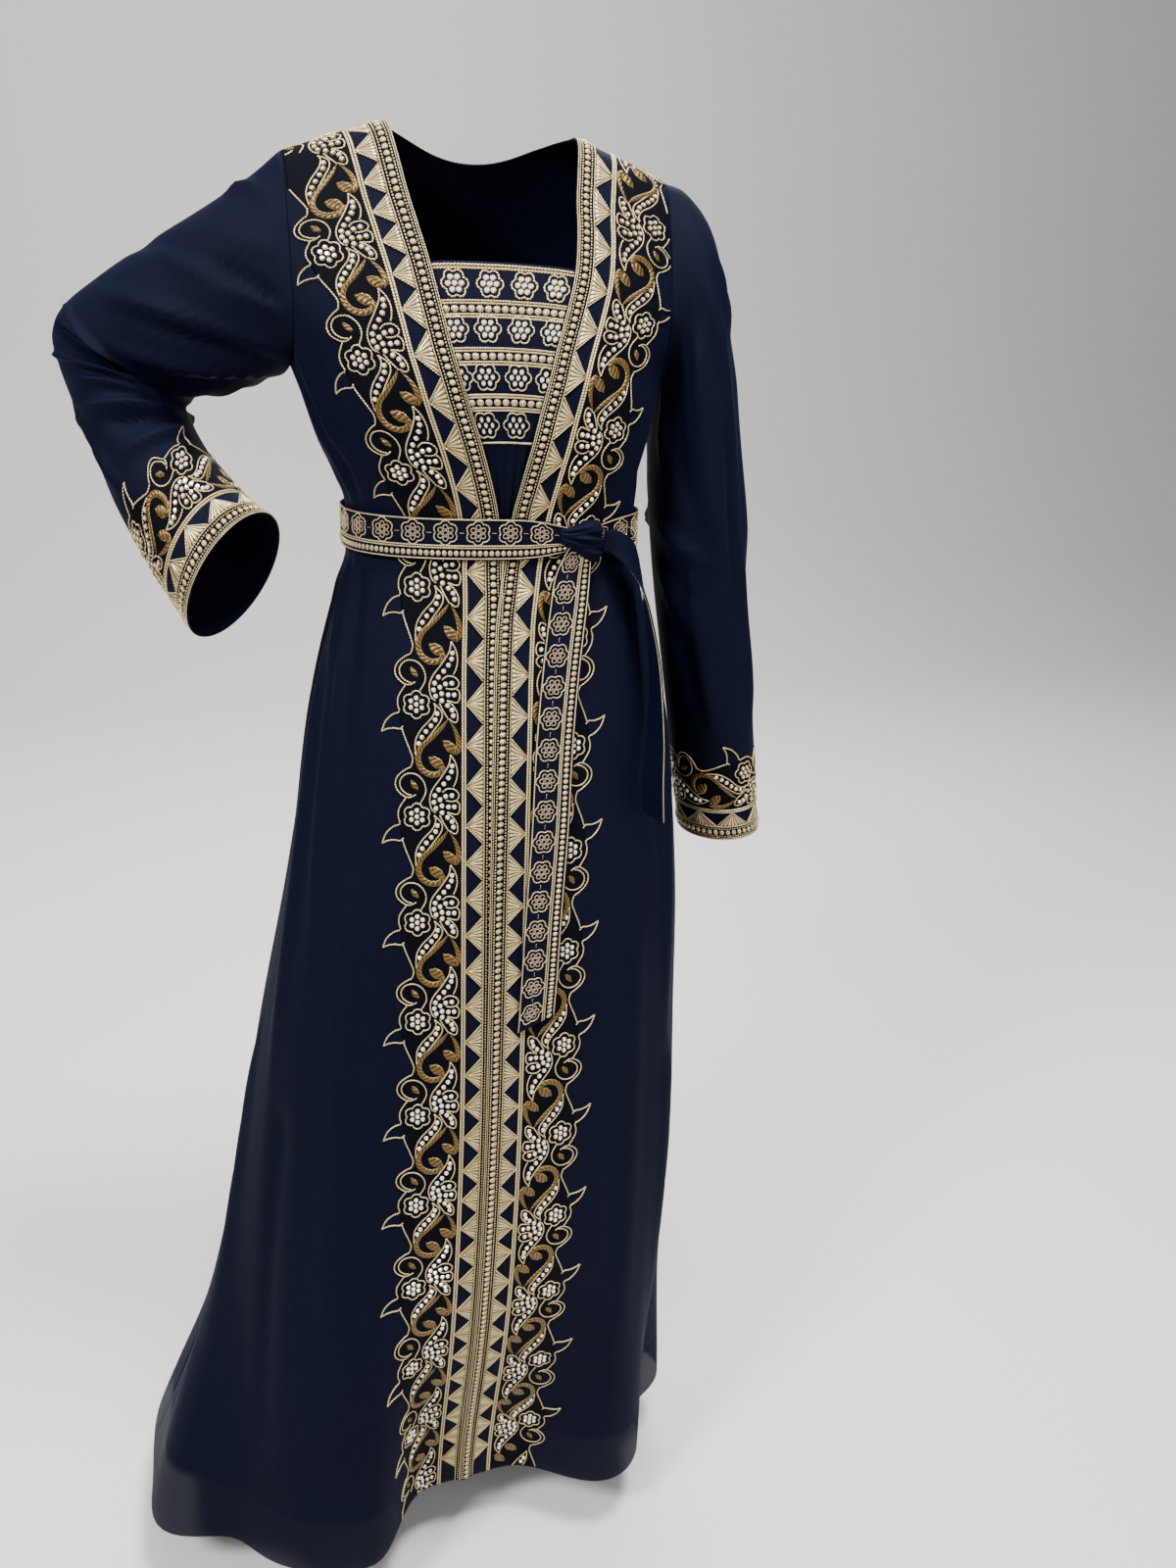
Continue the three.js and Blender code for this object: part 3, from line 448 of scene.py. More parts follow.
beadLook = threadMaterial("padded bead satin wound", {  # thread wound over a core: round silky beads, with a painted highlight on each turn and painted shade between
    "base": "#ae9868", "deep": "#534326", "lit": "#f1dfac", "metal": 0.5, "rough": 0.28, "pitch": 1.1,
    "slant": 0, "bump": 0.5})
stoneGlass = pressedMaterial(  # glass over silver foil: white glints, the lighter of its two colours a painted glint
    "rhinestone pressed glass foiled", ("#dfd4bb", "#fff8e8"), Metallic=0.25, Roughness=0.12,
    Coat_Weight=0.7, Coat_Roughness=0.05)
stoneCup = pressedMaterial(  # stamped brass: a dark gold ring round each stone, lighter and darker from spot to spot
    "stone setting pressed brass", ("#5c4b2c", "#9a8452"), Metallic=0.6, Roughness=0.35)
print("materials ready")


# Cloth pieces.

def addObject(name, data):
    made = bpy.data.objects.new(name, data)
    bpy.context.scene.collection.objects.link(made)
    return made


def meshOf(bm, name):
    mesh = bpy.data.meshes.new(name)
    bm.to_mesh(mesh)
    bm.free()
    return mesh


def placeGrid(bm, grid):  # a grid whose vertices go to the points given; keeps where each one is
    rows, columns = grid.shape[:2]
    place = {}
    for v in bmesh.ops.create_grid(bm, x_segments=columns - 1, y_segments=rows - 1, size=0.5)["verts"]:
        place[v] = (round((v.co.y + 0.5) * (rows - 1)), round((v.co.x + 0.5) * (columns - 1)))
        v.co = grid[place[v]] / 1000
    return place


def finish(piece, materials, node=None):
    for material in materials:
        piece.data.materials.append(material)
    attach(piece, "root")
    if node:
        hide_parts(*node.split())
    return piece


def clothPiece(name, grid, uv, hint, wall, material, node=None, around=False):
    if around:
        grid = np.concatenate([grid, grid[:, :1]], 1)
    bm = bmesh.new()
    layer = bm.loops.layers.uv.new("UVMap")
    place = placeGrid(bm, grid)
    for face in bm.faces:
        face.smooth = True
        for loop in face.loops:
            loop[layer].uv = uv[place[loop.vert]] / 1000
    bm.normal_update()
    total = sum(f.calc_area() * f.normal.dot(hint(f.calc_center_median() * 1000)) for f in bm.faces)
    if total < 0:
        bmesh.ops.reverse_faces(bm, faces=bm.faces[:])
    if around:
        bmesh.ops.remove_doubles(bm, verts=bm.verts[:], dist=1e-6)
    piece = addObject(name, meshOf(bm, name))
    thick = piece.modifiers.new("thickness", "SOLIDIFY")
    thick.thickness = wall / 1000
    thick.offset = -1
    return finish(piece, [material], node)


def gridUv(grid, around=False):  # widths and lengths in millimetres
    if around:
        grid = np.concatenate([grid, grid[:, :1]], 1)
    steps = np.linalg.norm(np.diff(grid, axis=1), axis=2)
    u = np.concatenate([np.zeros((len(grid), 1)), np.cumsum(steps, 1)], 1)
    v = arcs(grid[:, 0])
    return np.stack([u, np.repeat(-v[:, None], grid.shape[1], 1)], 2)


def fromAxis(x, y):  # outwards from an upright axis
    return lambda p: Vector((p.x - x, p.y - y, 0)).normalized()


borderSteps = np.arange(0, 131, 2.5)
lapTable = {"level": [0, -352, -430, -1000, hem], "wide": [0, 0, 8, 13, 13]}  # left front over the right
fronts = {}
for name, side in (("right", -1), ("left", 1)):
    cloth, border, limits = [], [], []
    for level in bodyLevels:
        line, run = rowLine(level, side, -1)
        total = run[-1]
        lap = float(valueAt(lapTable, "wide", level)) if side > 0 else 0.0
        if lap > 0.2:
            under, underRun = rowLine(level, -1, -1)
            steps = np.linspace(lap, 0, 12, endpoint=False)
            over = pick(under, underRun, steps)
            over[:, 1] -= 2.4 * ease(steps / 5)
            line = np.vstack([over, line])
            run = np.r_[-steps, run]
        near = np.arange(0, 122, 5.5) * min(1, total * 0.86 / 121)
        far = near[-1] + (total - near[-1]) * np.linspace(0, 1, 37)[1:]
        cloth.append(pick(line, run, np.r_[near - lap * (1 - near / 121) ** 0.5, far]))
        border.append(pick(line, run, np.minimum(borderSteps - lap, total)))
        limits.append(total + lap)
    grid = np.array(cloth)
    piece = clothPiece(name + "FrontCloth", grid, gridUv(grid), fromAxis(-20, 0), 0.9, georgette,
                       "front_panel_" + name)
    table = np.array(border)
    fronts[name] = {"piece": piece, "grid": grid, "border": table, "limits": np.array(limits),
                    "along": arcs(table[:, 0])}

backHalves = {}
neckSection = sectionAt(-20)


def levelOfDepth(depth):
    levels = np.linspace(-90, 0, 721)
    return np.interp(depth, valueAt(body, "back", levels)[::-1], levels[::-1])


def backSpot(x, level):
    s = sectionAt(level)
    return [x, s["cy"] + s["back"] * float(bulgeAt(s, x)) - 0.1, level - float(fallAt(s, x))]


for side in (1, -1):
    rows = []
    for level in bodyLevels:
        line, run = rowLine(level, side, 1)
        row = pick(line, run, run[-1] * np.linspace(0, 1, 62))
        if level >= -90:
            for k, p in enumerate(row):
                if abs(p[0]) < neckHalf:
                    depth = neckDepth * math.sqrt(max(0, 1 - (p[0] / neckHalf) ** 2))
                    row[k] = backSpot(p[0], level + float(levelOfDepth(depth)) * (1 + level / 90))
        rows.append(row)
    backHalves[side] = np.array(rows)
backGrid = np.concatenate([backHalves[-1][:, :0:-1], backHalves[1]], 1)
backPiece = clothPiece("backCloth", backGrid, gridUv(backGrid), fromAxis(-20, 0), 0.9, georgette,
                       "back_panel_upper back_panel_lower")
print("body cloth ready")

# Sleeve creases: down the sleeve and round it at each end (shares), half width, depth and bow.
sleeveCreases = {
    "right": [
        (0.02, 0.34, 0.25, 0.06, 5, 4.6, 4), (0.03, 0.30, 0.16, 0.19, 5, -3.6, 2),
        (0.02, 0.22, 0.14, 0.10, 5, 3.4, 2), (0.03, 0.40, 0.36, 0.12, 6, 6.2, 6),
        (0.05, 0.43, 0.33, 0.20, 5, -5.4, 5), (0.06, 0.47, 0.42, 0.24, 7, 6.8, 5),
        (0.10, 0.50, 0.42, 0.34, 7, -5.0, 4), (0.08, 0.53, 0.43, 0.44, 9, 5.0, 3),
        (0.02, 0.12, 0.10, 0.97, 5, 3.0, 1), (0.04, 0.29, 0.30, 0.97, 8, -3.5, 5),
        (0.40, 0.09, 0.42, 0.36, 6, 6.0, -3), (0.455, 0.08, 0.462, 0.40, 9, -13.5, 2),
        (0.503, 0.08, 0.498, 0.41, 5, 7.0, -2), (0.47, 0.30, 0.55, 0.44, 5, 4.4, 2),
        (0.50, 0.46, 0.56, 0.14, 5, 5.5, 4), (0.53, 0.48, 0.63, 0.16, 6, 6.6, 5),
        (0.57, 0.46, 0.66, 0.22, 5, -5.6, 4), (0.59, 0.47, 0.73, 0.24, 6, 6.2, 5),
        (0.65, 0.45, 0.79, 0.30, 5, 4.8, 3), (0.58, 0.08, 0.80, 0.18, 7, 4.2, 3),
        (0.05, 0.80, 0.42, 0.92, 10, 5.0, 6), (0.08, 0.66, 0.40, 0.74, 9, -4.5, 4),
        (0.05, 0.58, 0.36, 0.62, 8, 4.5, 3), (0.44, 0.55, 0.66, 0.80, 9, 5.5, 6),
        (0.52, 0.60, 0.78, 0.90, 8, 4.5, 4), (0.46, 0.52, 0.49, 0.78, 8, -7.0, 3),
    ],
    "left": [
        (0.02, 0.14, 0.20, 0.10, 6, 3.0, 1), (0.02, 0.22, 0.34, 0.16, 8, 4.5, 3),
        (0.03, 0.30, 0.52, 0.24, 10, 6.0, 5), (0.03, 0.38, 0.44, 0.33, 7, -4.5, 3),
        (0.05, 0.44, 0.36, 0.42, 7, 4.5, 2), (0.14, 0.08, 0.56, 0.06, 9, 4.0, 5),
        (0.22, 0.19, 0.66, 0.17, 8, -4.5, 4), (0.46, 0.34, 0.84, 0.30, 9, 4.5, 3),
        (0.44, 0.12, 0.84, 0.13, 9, 4.0, 4), (0.42, 0.49, 0.50, 0.26, 7, 4.5, 3),
        (0.47, 0.50, 0.57, 0.30, 6, -4.0, 2), (0.50, 0.48, 0.63, 0.34, 7, 4.0, 3),
        (0.04, 0.62, 0.50, 0.66, 9, 5.0, 5), (0.06, 0.78, 0.70, 0.80, 10, -4.5, 6),
        (0.20, 0.90, 0.84, 0.88, 9, 4.5, 4), (0.44, 0.70, 0.84, 0.72, 8, 4.5, 3),
        (0.40, 0.56, 0.52, 0.80, 7, 4.5, 3),
    ],
}


def sleeveRows(side, rings, name):
    front = fronts[name]["grid"]
    back = backHalves[side]
    loop = [front[0, -1] * [1, 0, 1]] + list(front[1:underarmRow, -1]) + [front[underarmRow, -1] * [1, 0, 1]]
    loop += list(back[underarmRow - 1:0:-1, -1])
    loop = np.array(loop) + [side * 0.36, 0, 0]
    count = len(loop)
    outer, inner = np.array(rings["outer"], float), np.array(rings["inner"], float)
    centres = (outer + inner) / 2
    start = (loop[0] + loop[underarmRow]) / 2
    own = np.arctan2(-(loop[:, 1] - start[1]) / 60, (loop[:, 2] - start[2]) / 87)
    own = np.where(own < -1e-9, own + 2 * np.pi, own)
    even = 2 * np.pi * arcs(loop)[:count] / (arcs(loop)[-1] + np.linalg.norm(loop[0] - loop[-1]))
    rows = [loop]
    for n in range(len(outer)):
        reach = (outer[n] - inner[n]) / 2
        before = centres[n - 1] if n else start
        way = unit(centres[min(len(outer) - 1, n + 1)] - before)
        across = unit(np.cross(way, reach))
        across *= -1 if across[1] > 0 else 1
        lean = max(0, 0.95 - 0.35 * n)
        across = unit(across * (1 - lean) + np.array([0, -1, 0]) * lean)
        settle = min(1, (n + 1) / 4)
        a = own * (1 - settle) + even * settle
        q = centres[n] + np.outer(np.cos(a), reach) + np.outer(np.sin(a), across) * rings["deep"][n]
        rows.append(q * 0.7 + (loop - start + centres[n]) * 0.3 if n == 0 else q)
    return smoothRows(np.array(rows), 9)


def addCreases(grid, normals, table):
    down = np.r_[0, np.cumsum(np.linalg.norm(np.diff(grid.mean(1), axis=0), axis=1))][:, None]
    ring = np.linalg.norm(np.roll(grid, -1, 1) - grid, axis=2)
    girth = ring.sum(1, keepdims=True)
    share = (np.cumsum(ring, 1) - ring) / girth
    out = np.zeros(grid.shape[:2])
    for t0, a0, t1, a1, spread, deep, bow in table:
        turn = (a1 - a0 + 0.5) % 1 - 0.5
        span = np.array([(t1 - t0) * down[-1, 0], turn * girth.mean()])
        length = np.linalg.norm(span)
        span /= length
        x = down - t0 * down[-1, 0]
        y = ((share - a0 - turn / 2 + 0.5) % 1 - 0.5 + turn / 2) * girth
        s = (x * span[0] + y * span[1]) / length
        away = x * span[1] - y * span[0] + bow * np.sin(np.pi * np.clip(s, 0, 1))
        fade = ease(s * 4) * ease((1 - s) * 3) * (0.8 + 0.2 * np.sin(9 * s + 20 * a0))
        wide = spread * (0.6 + 0.6 * np.clip(s, 0, 1))
        out += creaseGain["sleeve"] * deep * fade * np.exp(-((away / wide) ** 2))
    edge = ease(down / 14) * ease((down[-1] - down) / 60)
    return grid + normals * (out * edge)[:, :, None]


sleeves = {}
for name, side, rings in (("right", -1, bentSleeve), ("left", 1, hangingSleeve)):
    grid = sleeveRows(side, rings, name)
    normals = gridNormals(grid, (0, 0, 0), True)
    middleRow = len(grid) // 2
    toOut = np.sum(normals[middleRow] * (grid[middleRow] - grid[middleRow].mean(0)), 1).mean()
    normals *= 1 if toOut > 0 else -1
    grid = addCreases(grid, normals, sleeveCreases[name])
    centres = grid.mean(1)

    def hint(p, line=centres):
        v = np.array(p) - line[np.argmin(np.linalg.norm(line - np.array(p), axis=1))]
        return Vector(v).normalized()

    piece = clothPiece(name + "SleeveCloth", grid, gridUv(grid, True), hint, 0.9, georgette,
                       "sleeve_" + name, around=True)
    sleeves[name] = {"piece": piece, "grid": grid, "normals": normals}
print("sleeves ready")

inset = {"top": -114, "bottom": -398, "behind": 2.0, "pleats": 6.5, "deep": 0.9, "pleatsFrom": -258}
insetLevels = np.r_[inset["top"], np.arange(inset["top"] - 4, inset["bottom"], -5), inset["bottom"]]
insetRows = []
for level in insetLevels:
    s = sectionAt(level)
    x = s["mid"] + (s["edge"] + insetUnder) * np.linspace(-1, 1, 41)
    insetRows.append(np.stack([x, s["cy"] - s["front"] * bulgeAt(s, x), level - fallAt(s, x)], 1))
insetGrid = np.array(insetRows)
insetGrid = insetGrid - gridNormals(insetGrid, (0, -1, 0)) * inset["behind"]
pleats = np.sin(np.linspace(0, 1, 41) * 2 * np.pi * inset["pleats"]) * inset["deep"]
lower = ease((inset["pleatsFrom"] - insetLevels) / 12)
insetGrid[:, :, 1] += pleats[None, :] * lower[:, None] + inset["deep"] * lower[:, None]
chestPiece = clothPiece("chestInsetCloth", insetGrid, gridUv(insetGrid), lambda p: forwards,
                        0.8, georgette, "chest_panel")


# Belt.

def beltSpot(turn, level, off):
    s = sectionAt(level)
    c, d = np.cos(turn), np.sin(turn)
    depth = np.where(d > 0, s["front"], s["back"])
    x = s["half"] * np.sign(c) * np.abs(c) ** (2 / square)
    y = -depth * np.sign(d) * np.abs(d) ** (2 / square)
    n = np.stack([np.sign(x) * np.abs(x / s["half"]) ** (square - 1) / s["half"],
                  np.sign(y) * np.abs(y / depth) ** (square - 1) / depth], 1)
    n = unit(n) * off
    return np.stack([s["cx"] + x + n[:, 0], s["cy"] + y + n[:, 1], np.full(len(x), float(level))], 1)


turns = np.linspace(0, 2 * np.pi, 241)
ring = beltSpot(turns, belt["top"] - belt["height"] / 2, belt["clear"] + belt["thick"])
beltRun = arcs(ring)
evenTurns = np.interp(np.linspace(0, beltRun[-1], 240, endpoint=False), beltRun, turns)
beltGrid = np.array([beltSpot(evenTurns, level, belt["clear"] + belt["thick"])
                     for level in np.linspace(belt["top"], belt["top"] - belt["height"], 13)])
inFront = np.sin(evenTurns) > 0
nearKnot = np.exp(-(((beltGrid[0, :, 0] - knot["x"]) / 34) ** 2)) * inFront
heights = beltGrid[:, :, 2]
beltGrid[:, :, 2] = knot["level"] + (heights - knot["level"]) * (1 - 0.45 * nearKnot)
beltPiece = clothPiece("beltLoopCloth", beltGrid, gridUv(beltGrid, True), fromAxis(14, 0), 1.7, beltCloth,
                       "belt_loop", around=True)


def frontSpot(x, level, off):
    s = sectionAt(level)
    y, before, after = (s["cy"] - s["front"] * float(bulgeAt(s, q)) for q in (x, x - 2, x + 2))
    slope = (after - before) / 4
    n = unit(np.array([slope, -1.0, 0.0]))
    along = unit(np.array([1.0, slope, 0.0]))
    return np.array([x, y, level]) + n * off, n, along


def stripGrid(rows, parts, columns, cut=0.0, ripple=0.0):
    names = ("level", "x", "off", "turn", "lean", "wide")
    table = smoothRows(np.array([rows[name] for name in names], float).T, parts)
    grid = []
    for k, (level, x, off, turn, lean, wide) in enumerate(table):
        p, n, along = frontSpot(x, level, off)
        turn, lean = math.radians(turn), math.radians(lean)
        across = (along * math.cos(turn) - n * math.sin(turn)) * math.cos(lean)
        across = across + np.array([0, 0, math.sin(lean)])
        share = k / (len(table) - 1)
        row = []
        for q in np.linspace(-0.5, 0.5, columns + 1):
            if turn == 0 and lean == 0:
                spot = frontSpot(x + q * wide, level, off + belt["thick"])[0]
            else:
                spot = p + across * (q * wide) + n * belt["thick"]
            spot = spot + n * ripple * math.sin(9 * share + 2 * q) * ease(share * 4)
            spot[2] -= cut * q * ease((share - 0.85) / 0.15)
            row.append(spot)
        grid.append(row)
    return np.array(grid)


longGrid = stripGrid(longEnd, 10, 12, cut=-16.0)
shortGrid = stripGrid(shortEnd, 8, 10, ripple=0.8)
longPiece = clothPiece("beltLongEndCloth", longGrid, gridUv(longGrid), lambda p: forwards,
                       1.7, beltCloth, "belt_end_long")
shortPiece = clothPiece("beltShortEndCloth", shortGrid, gridUv(shortGrid),
                        lambda p: sideways, 1.7, beltCloth, "belt_end_short")


def knotPiece():  # a flat back on the belt and a crowned, creased wrap over it
    rows, columns = 41, 35
    layers = []
    for crown in (1, 0):
        layer = []
        for v in np.linspace(1, -1, rows):
            row = []
            for u in np.linspace(-1, 1, columns):
                bulk = math.sqrt(max(0, 1 - u ** 4)) * math.sqrt(max(0, 1 - v ** 4))
                fan = float(ease((u + 1.1) / 1.7))  # drawn to a point on one side, fanned on the other
                pinch = 0.36 + 0.66 * fan
                crease = 1.7 * math.sin(10.5 * v + 1.4 * u) + 1.2 * math.sin(17 * v - 2 * u)
                crease *= bulk * (0.4 + 0.6 * fan)
                x = knot["x"] + knot["wide"] / 2 * (u - 0.06) * (1 - 0.08 * v * v)
                level = knot["level"] + knot["tall"] / 2 * v * pinch + 1.5 - 3.5 * u
                rise = 1.0 + (knot["bulge"] - 3) * bulk * (0.45 + 0.55 * fan) + crease
                off = belt["clear"] + belt["thick"] + 0.3 + crown * rise
                row.append(frontSpot(x, level, off)[0])
            layer.append(row)
        layers.append(np.array(layer))
    bm = bmesh.new()
    for layer in layers:
        placeGrid(bm, layer)
    edges = [e for e in bm.edges if e.is_boundary]
    bmesh.ops.bridge_loops(bm, edges=edges)
    bmesh.ops.recalc_face_normals(bm, faces=bm.faces[:])
    layerUv = bm.loops.layers.uv.new("UVMap")
    for face in bm.faces:
        face.smooth = True
        for loop in face.loops:
            loop[layerUv].uv = (loop.vert.co.x, loop.vert.co.z)
    return finish(addObject("beltKnotWrap", meshOf(bm, "beltKnotWrap")), [beltCloth], "belt_knot")


knotWrap = knotPiece()
print("belt ready")


# Embroidery is drawn flat as along, across and height, then laid on the cloth.

def makeTable(points, along, across, hint):
    grid = points
    n = unit(np.cross(np.gradient(grid, axis=0), np.gradient(grid, axis=1)))
    turned = float(np.sum(n * hint(grid))) > 0
    return {"p": grid, "n": n if turned else -n, "along": along, "across": across, "turned": turned}


def lay(table, spots):
    flat = spots[:, 0] % table["round"] if "round" in table else spots[:, 0]
    i = np.interp(flat, table["along"], np.arange(len(table["along"])))
    j = np.interp(spots[:, 1], table["across"], np.arange(len(table["across"])))
    i0 = np.minimum(i.astype(int), len(table["along"]) - 2)
    j0 = np.minimum(j.astype(int), len(table["across"]) - 2)
    s, t = (i - i0)[:, None], (j - j0)[:, None]
    found = []
    for field in (table["p"], table["n"]):
        found.append((field[i0, j0] * (1 - s) + field[i0 + 1, j0] * s) * (1 - t)
                     + (field[i0, j0 + 1] * (1 - s) + field[i0 + 1, j0 + 1] * s) * t)
    high = spots[:, 2]
    if "cap" in table:
        high = np.minimum(high, np.interp(spots[:, 0], *table["cap"]))
    return found[0] + unit(found[1]) * high[:, None]


cordShape = np.array([(-1, -0.2), (-0.78, 0.6), (0, 1), (0.78, 0.6), (1, -0.2)])
thinShape = np.array([(-1, -0.2), (-0.55, 0.9), (0.55, 0.9), (1, -0.2)])
satinShape = np.array([(-1, -0.3), (-0.9, 0.45), (-0.55, 0.85), (0, 1), (0.55, 0.85), (0.9, 0.45), (1, -0.3)])


def strand(line, width, high, shape=cordShape, closed=False, lift=0.0):  # closed tube along a flat line
    count, sides = len(line), len(shape)
    if closed:
        way = np.roll(line, -1, 0) - np.roll(line, 1, 0)
    else:
        way = np.gradient(line, axis=0)
    way = unit(way)
    off = np.stack([-way[:, 1], way[:, 0]], 1)
    run = arcs(line)
    width = np.broadcast_to(width, count) if np.ndim(width) < 2 else np.interp(
        run / max(run[-1], 1e-6), [w[0] for w in width], [w[1] for w in width])
    high = np.broadcast_to(high, count) * np.minimum(1, 0.35 + width / max(width.max(), 1e-6) * 0.65)
    spots = np.empty((count, sides, 3))
    spots[:, :, :2] = line[:, None] + off[:, None] * (shape[:, 0] * width[:, None])[:, :, None]
    spots[:, :, 2] = lift + np.where(shape[:, 1] > 0, shape[:, 1] * high[:, None], shape[:, 1])
    uv = np.stack([np.repeat(run[:, None], sides, 1), np.repeat(shape[None, :, 0], count, 0)], 2)
    rings = count if closed else count - 1
    i, j = np.meshgrid(np.arange(rings), np.arange(sides), indexing="ij")
    i2, j2 = (i + 1) % count, (j + 1) % sides
    faces = np.stack([i * sides + j, i2 * sides + j, i2 * sides + j2, i * sides + j2], 2)
    faces = faces.reshape(-1, 4).tolist()
    if not closed:
        faces += [list(range(sides)), [(count - 1) * sides + k for k in reversed(range(sides))]]
    return spots.reshape(-1, 3), faces, uv.reshape(-1, 2)


def template(kind):  # one small shape that is then set many times
    bm = bmesh.new()
    if kind == "stone":  # a cup ring under a cut, flat-topped stone
        bmesh.ops.create_cone(bm, cap_ends=True, segments=8, radius1=1.0, radius2=0.94, depth=0.3,
                              matrix=Matrix.Translation((0, 0, 0.1)))
        bmesh.ops.create_cone(bm, cap_ends=True, segments=8, radius1=0.92, radius2=0.58, depth=0.5,
                              matrix=Matrix.Translation((0, 0, 0.5)))
    elif kind == "bead":
        bmesh.ops.create_uvsphere(bm, u_segments=10, v_segments=6, radius=1.0)
    else:
        bmesh.ops.create_icosphere(bm, subdivisions=1, radius=1.0)
    bm.verts.index_update()
    verts = np.array([v.co[:] for v in bm.verts])
    faces = [[v.index for v in f.verts] for f in bm.faces]
    bm.free()
    return verts, faces


templates = {kind: template(kind) for kind in ("stone", "bead", "dot")}


def setMany(kind, spots, size, lift=0.0):  # copies of a template at flat spots
    verts, faces = templates[kind]
    local = verts * np.array(size)
    spots = np.asarray(spots, float).reshape(-1, 2)
    all3 = np.column_stack([spots, np.full(len(spots), lift)])
    made = (all3[:, None] + local[None]).reshape(-1, 3)
    count = len(verts)
    allFaces = [[k + n * count for k in f] for n in range(len(spots)) for f in faces]
    uv = np.tile(np.column_stack([local[:, 0], verts[:, 1]]), (len(spots), 1))
    return made, allFaces, uv


def joinPiece(name, parts, table, materials, smooth=True, pickMaterial=None):
    spots, faces, uvs, base = [], [], [], 0
    for made, madeFaces, uv in parts:
        spots.append(made)
        uvs.append(uv)
        faces += [[k + base for k in f] for f in madeFaces]
        base += len(made)
    world = lay(table, np.vstack(spots)) / 1000
    if not table["turned"]:
        faces = [f[::-1] for f in faces]
    mesh = bpy.data.meshes.new(name)
    mesh.from_pydata(world.tolist(), [], faces)
    layer = mesh.uv_layers.new(name="UVMap")
    index = np.zeros(len(mesh.loops), int)
    mesh.loops.foreach_get("vertex_index", index)
    layer.data.foreach_set("uv", np.vstack(uvs)[index].astype(np.float32).ravel())
    mesh.polygons.foreach_set("use_smooth", [smooth] * len(mesh.polygons))
    if pickMaterial:
        mesh.polygons.foreach_set("material_index", pickMaterial(len(mesh.polygons)))
    mesh.update()
    return finish(addObject(name, mesh), materials)


def stitched(name, table, kinds):  # one piece for each kind of stitch
    return [joinPiece(name + kind, parts, table, [material]) for kind, parts, material in kinds]


def hexafoil(centre, radius, depth=0.17, steps=48, turn=0.0):
    a = np.linspace(0, 2 * np.pi, steps, endpoint=False)
    r = radius * (1 + depth * (np.abs(np.cos(3 * (a - turn))) - 0.5) * 1.4)
    return np.array(centre) + np.stack([np.cos(a) * r, np.sin(a) * r], 1)


def circleSpots(centre, radius, count, turn=0.0):
    a = turn + np.linspace(0, 2 * np.pi, count, endpoint=False)
    return np.array(centre) + np.stack([np.cos(a) * radius, np.sin(a) * radius], 1)


border = {  # millimetres across from the front edge, and pitches along it
    "cords": ((0.9, 0.55), (2.7, 0.45), (16.5, 0.6)),  # place and half width
    "beads": 9.3, "beadPitch": 6.6, "dots": (5.0, 13.7), "dotPitch": 2.9, "toothFoot": 17.6,
    "bead": (2.65, 2.9, 1.7), "dot": (1.05, 0.85, 0.9),  # half lengths, half widths and heights
    "toothTip": 33.2, "line": 35.6, "ground": 34.0, "scrollCord": 0.74, "flower": 11.6, "petals": 5.9,
    "stone": 2.5,
}
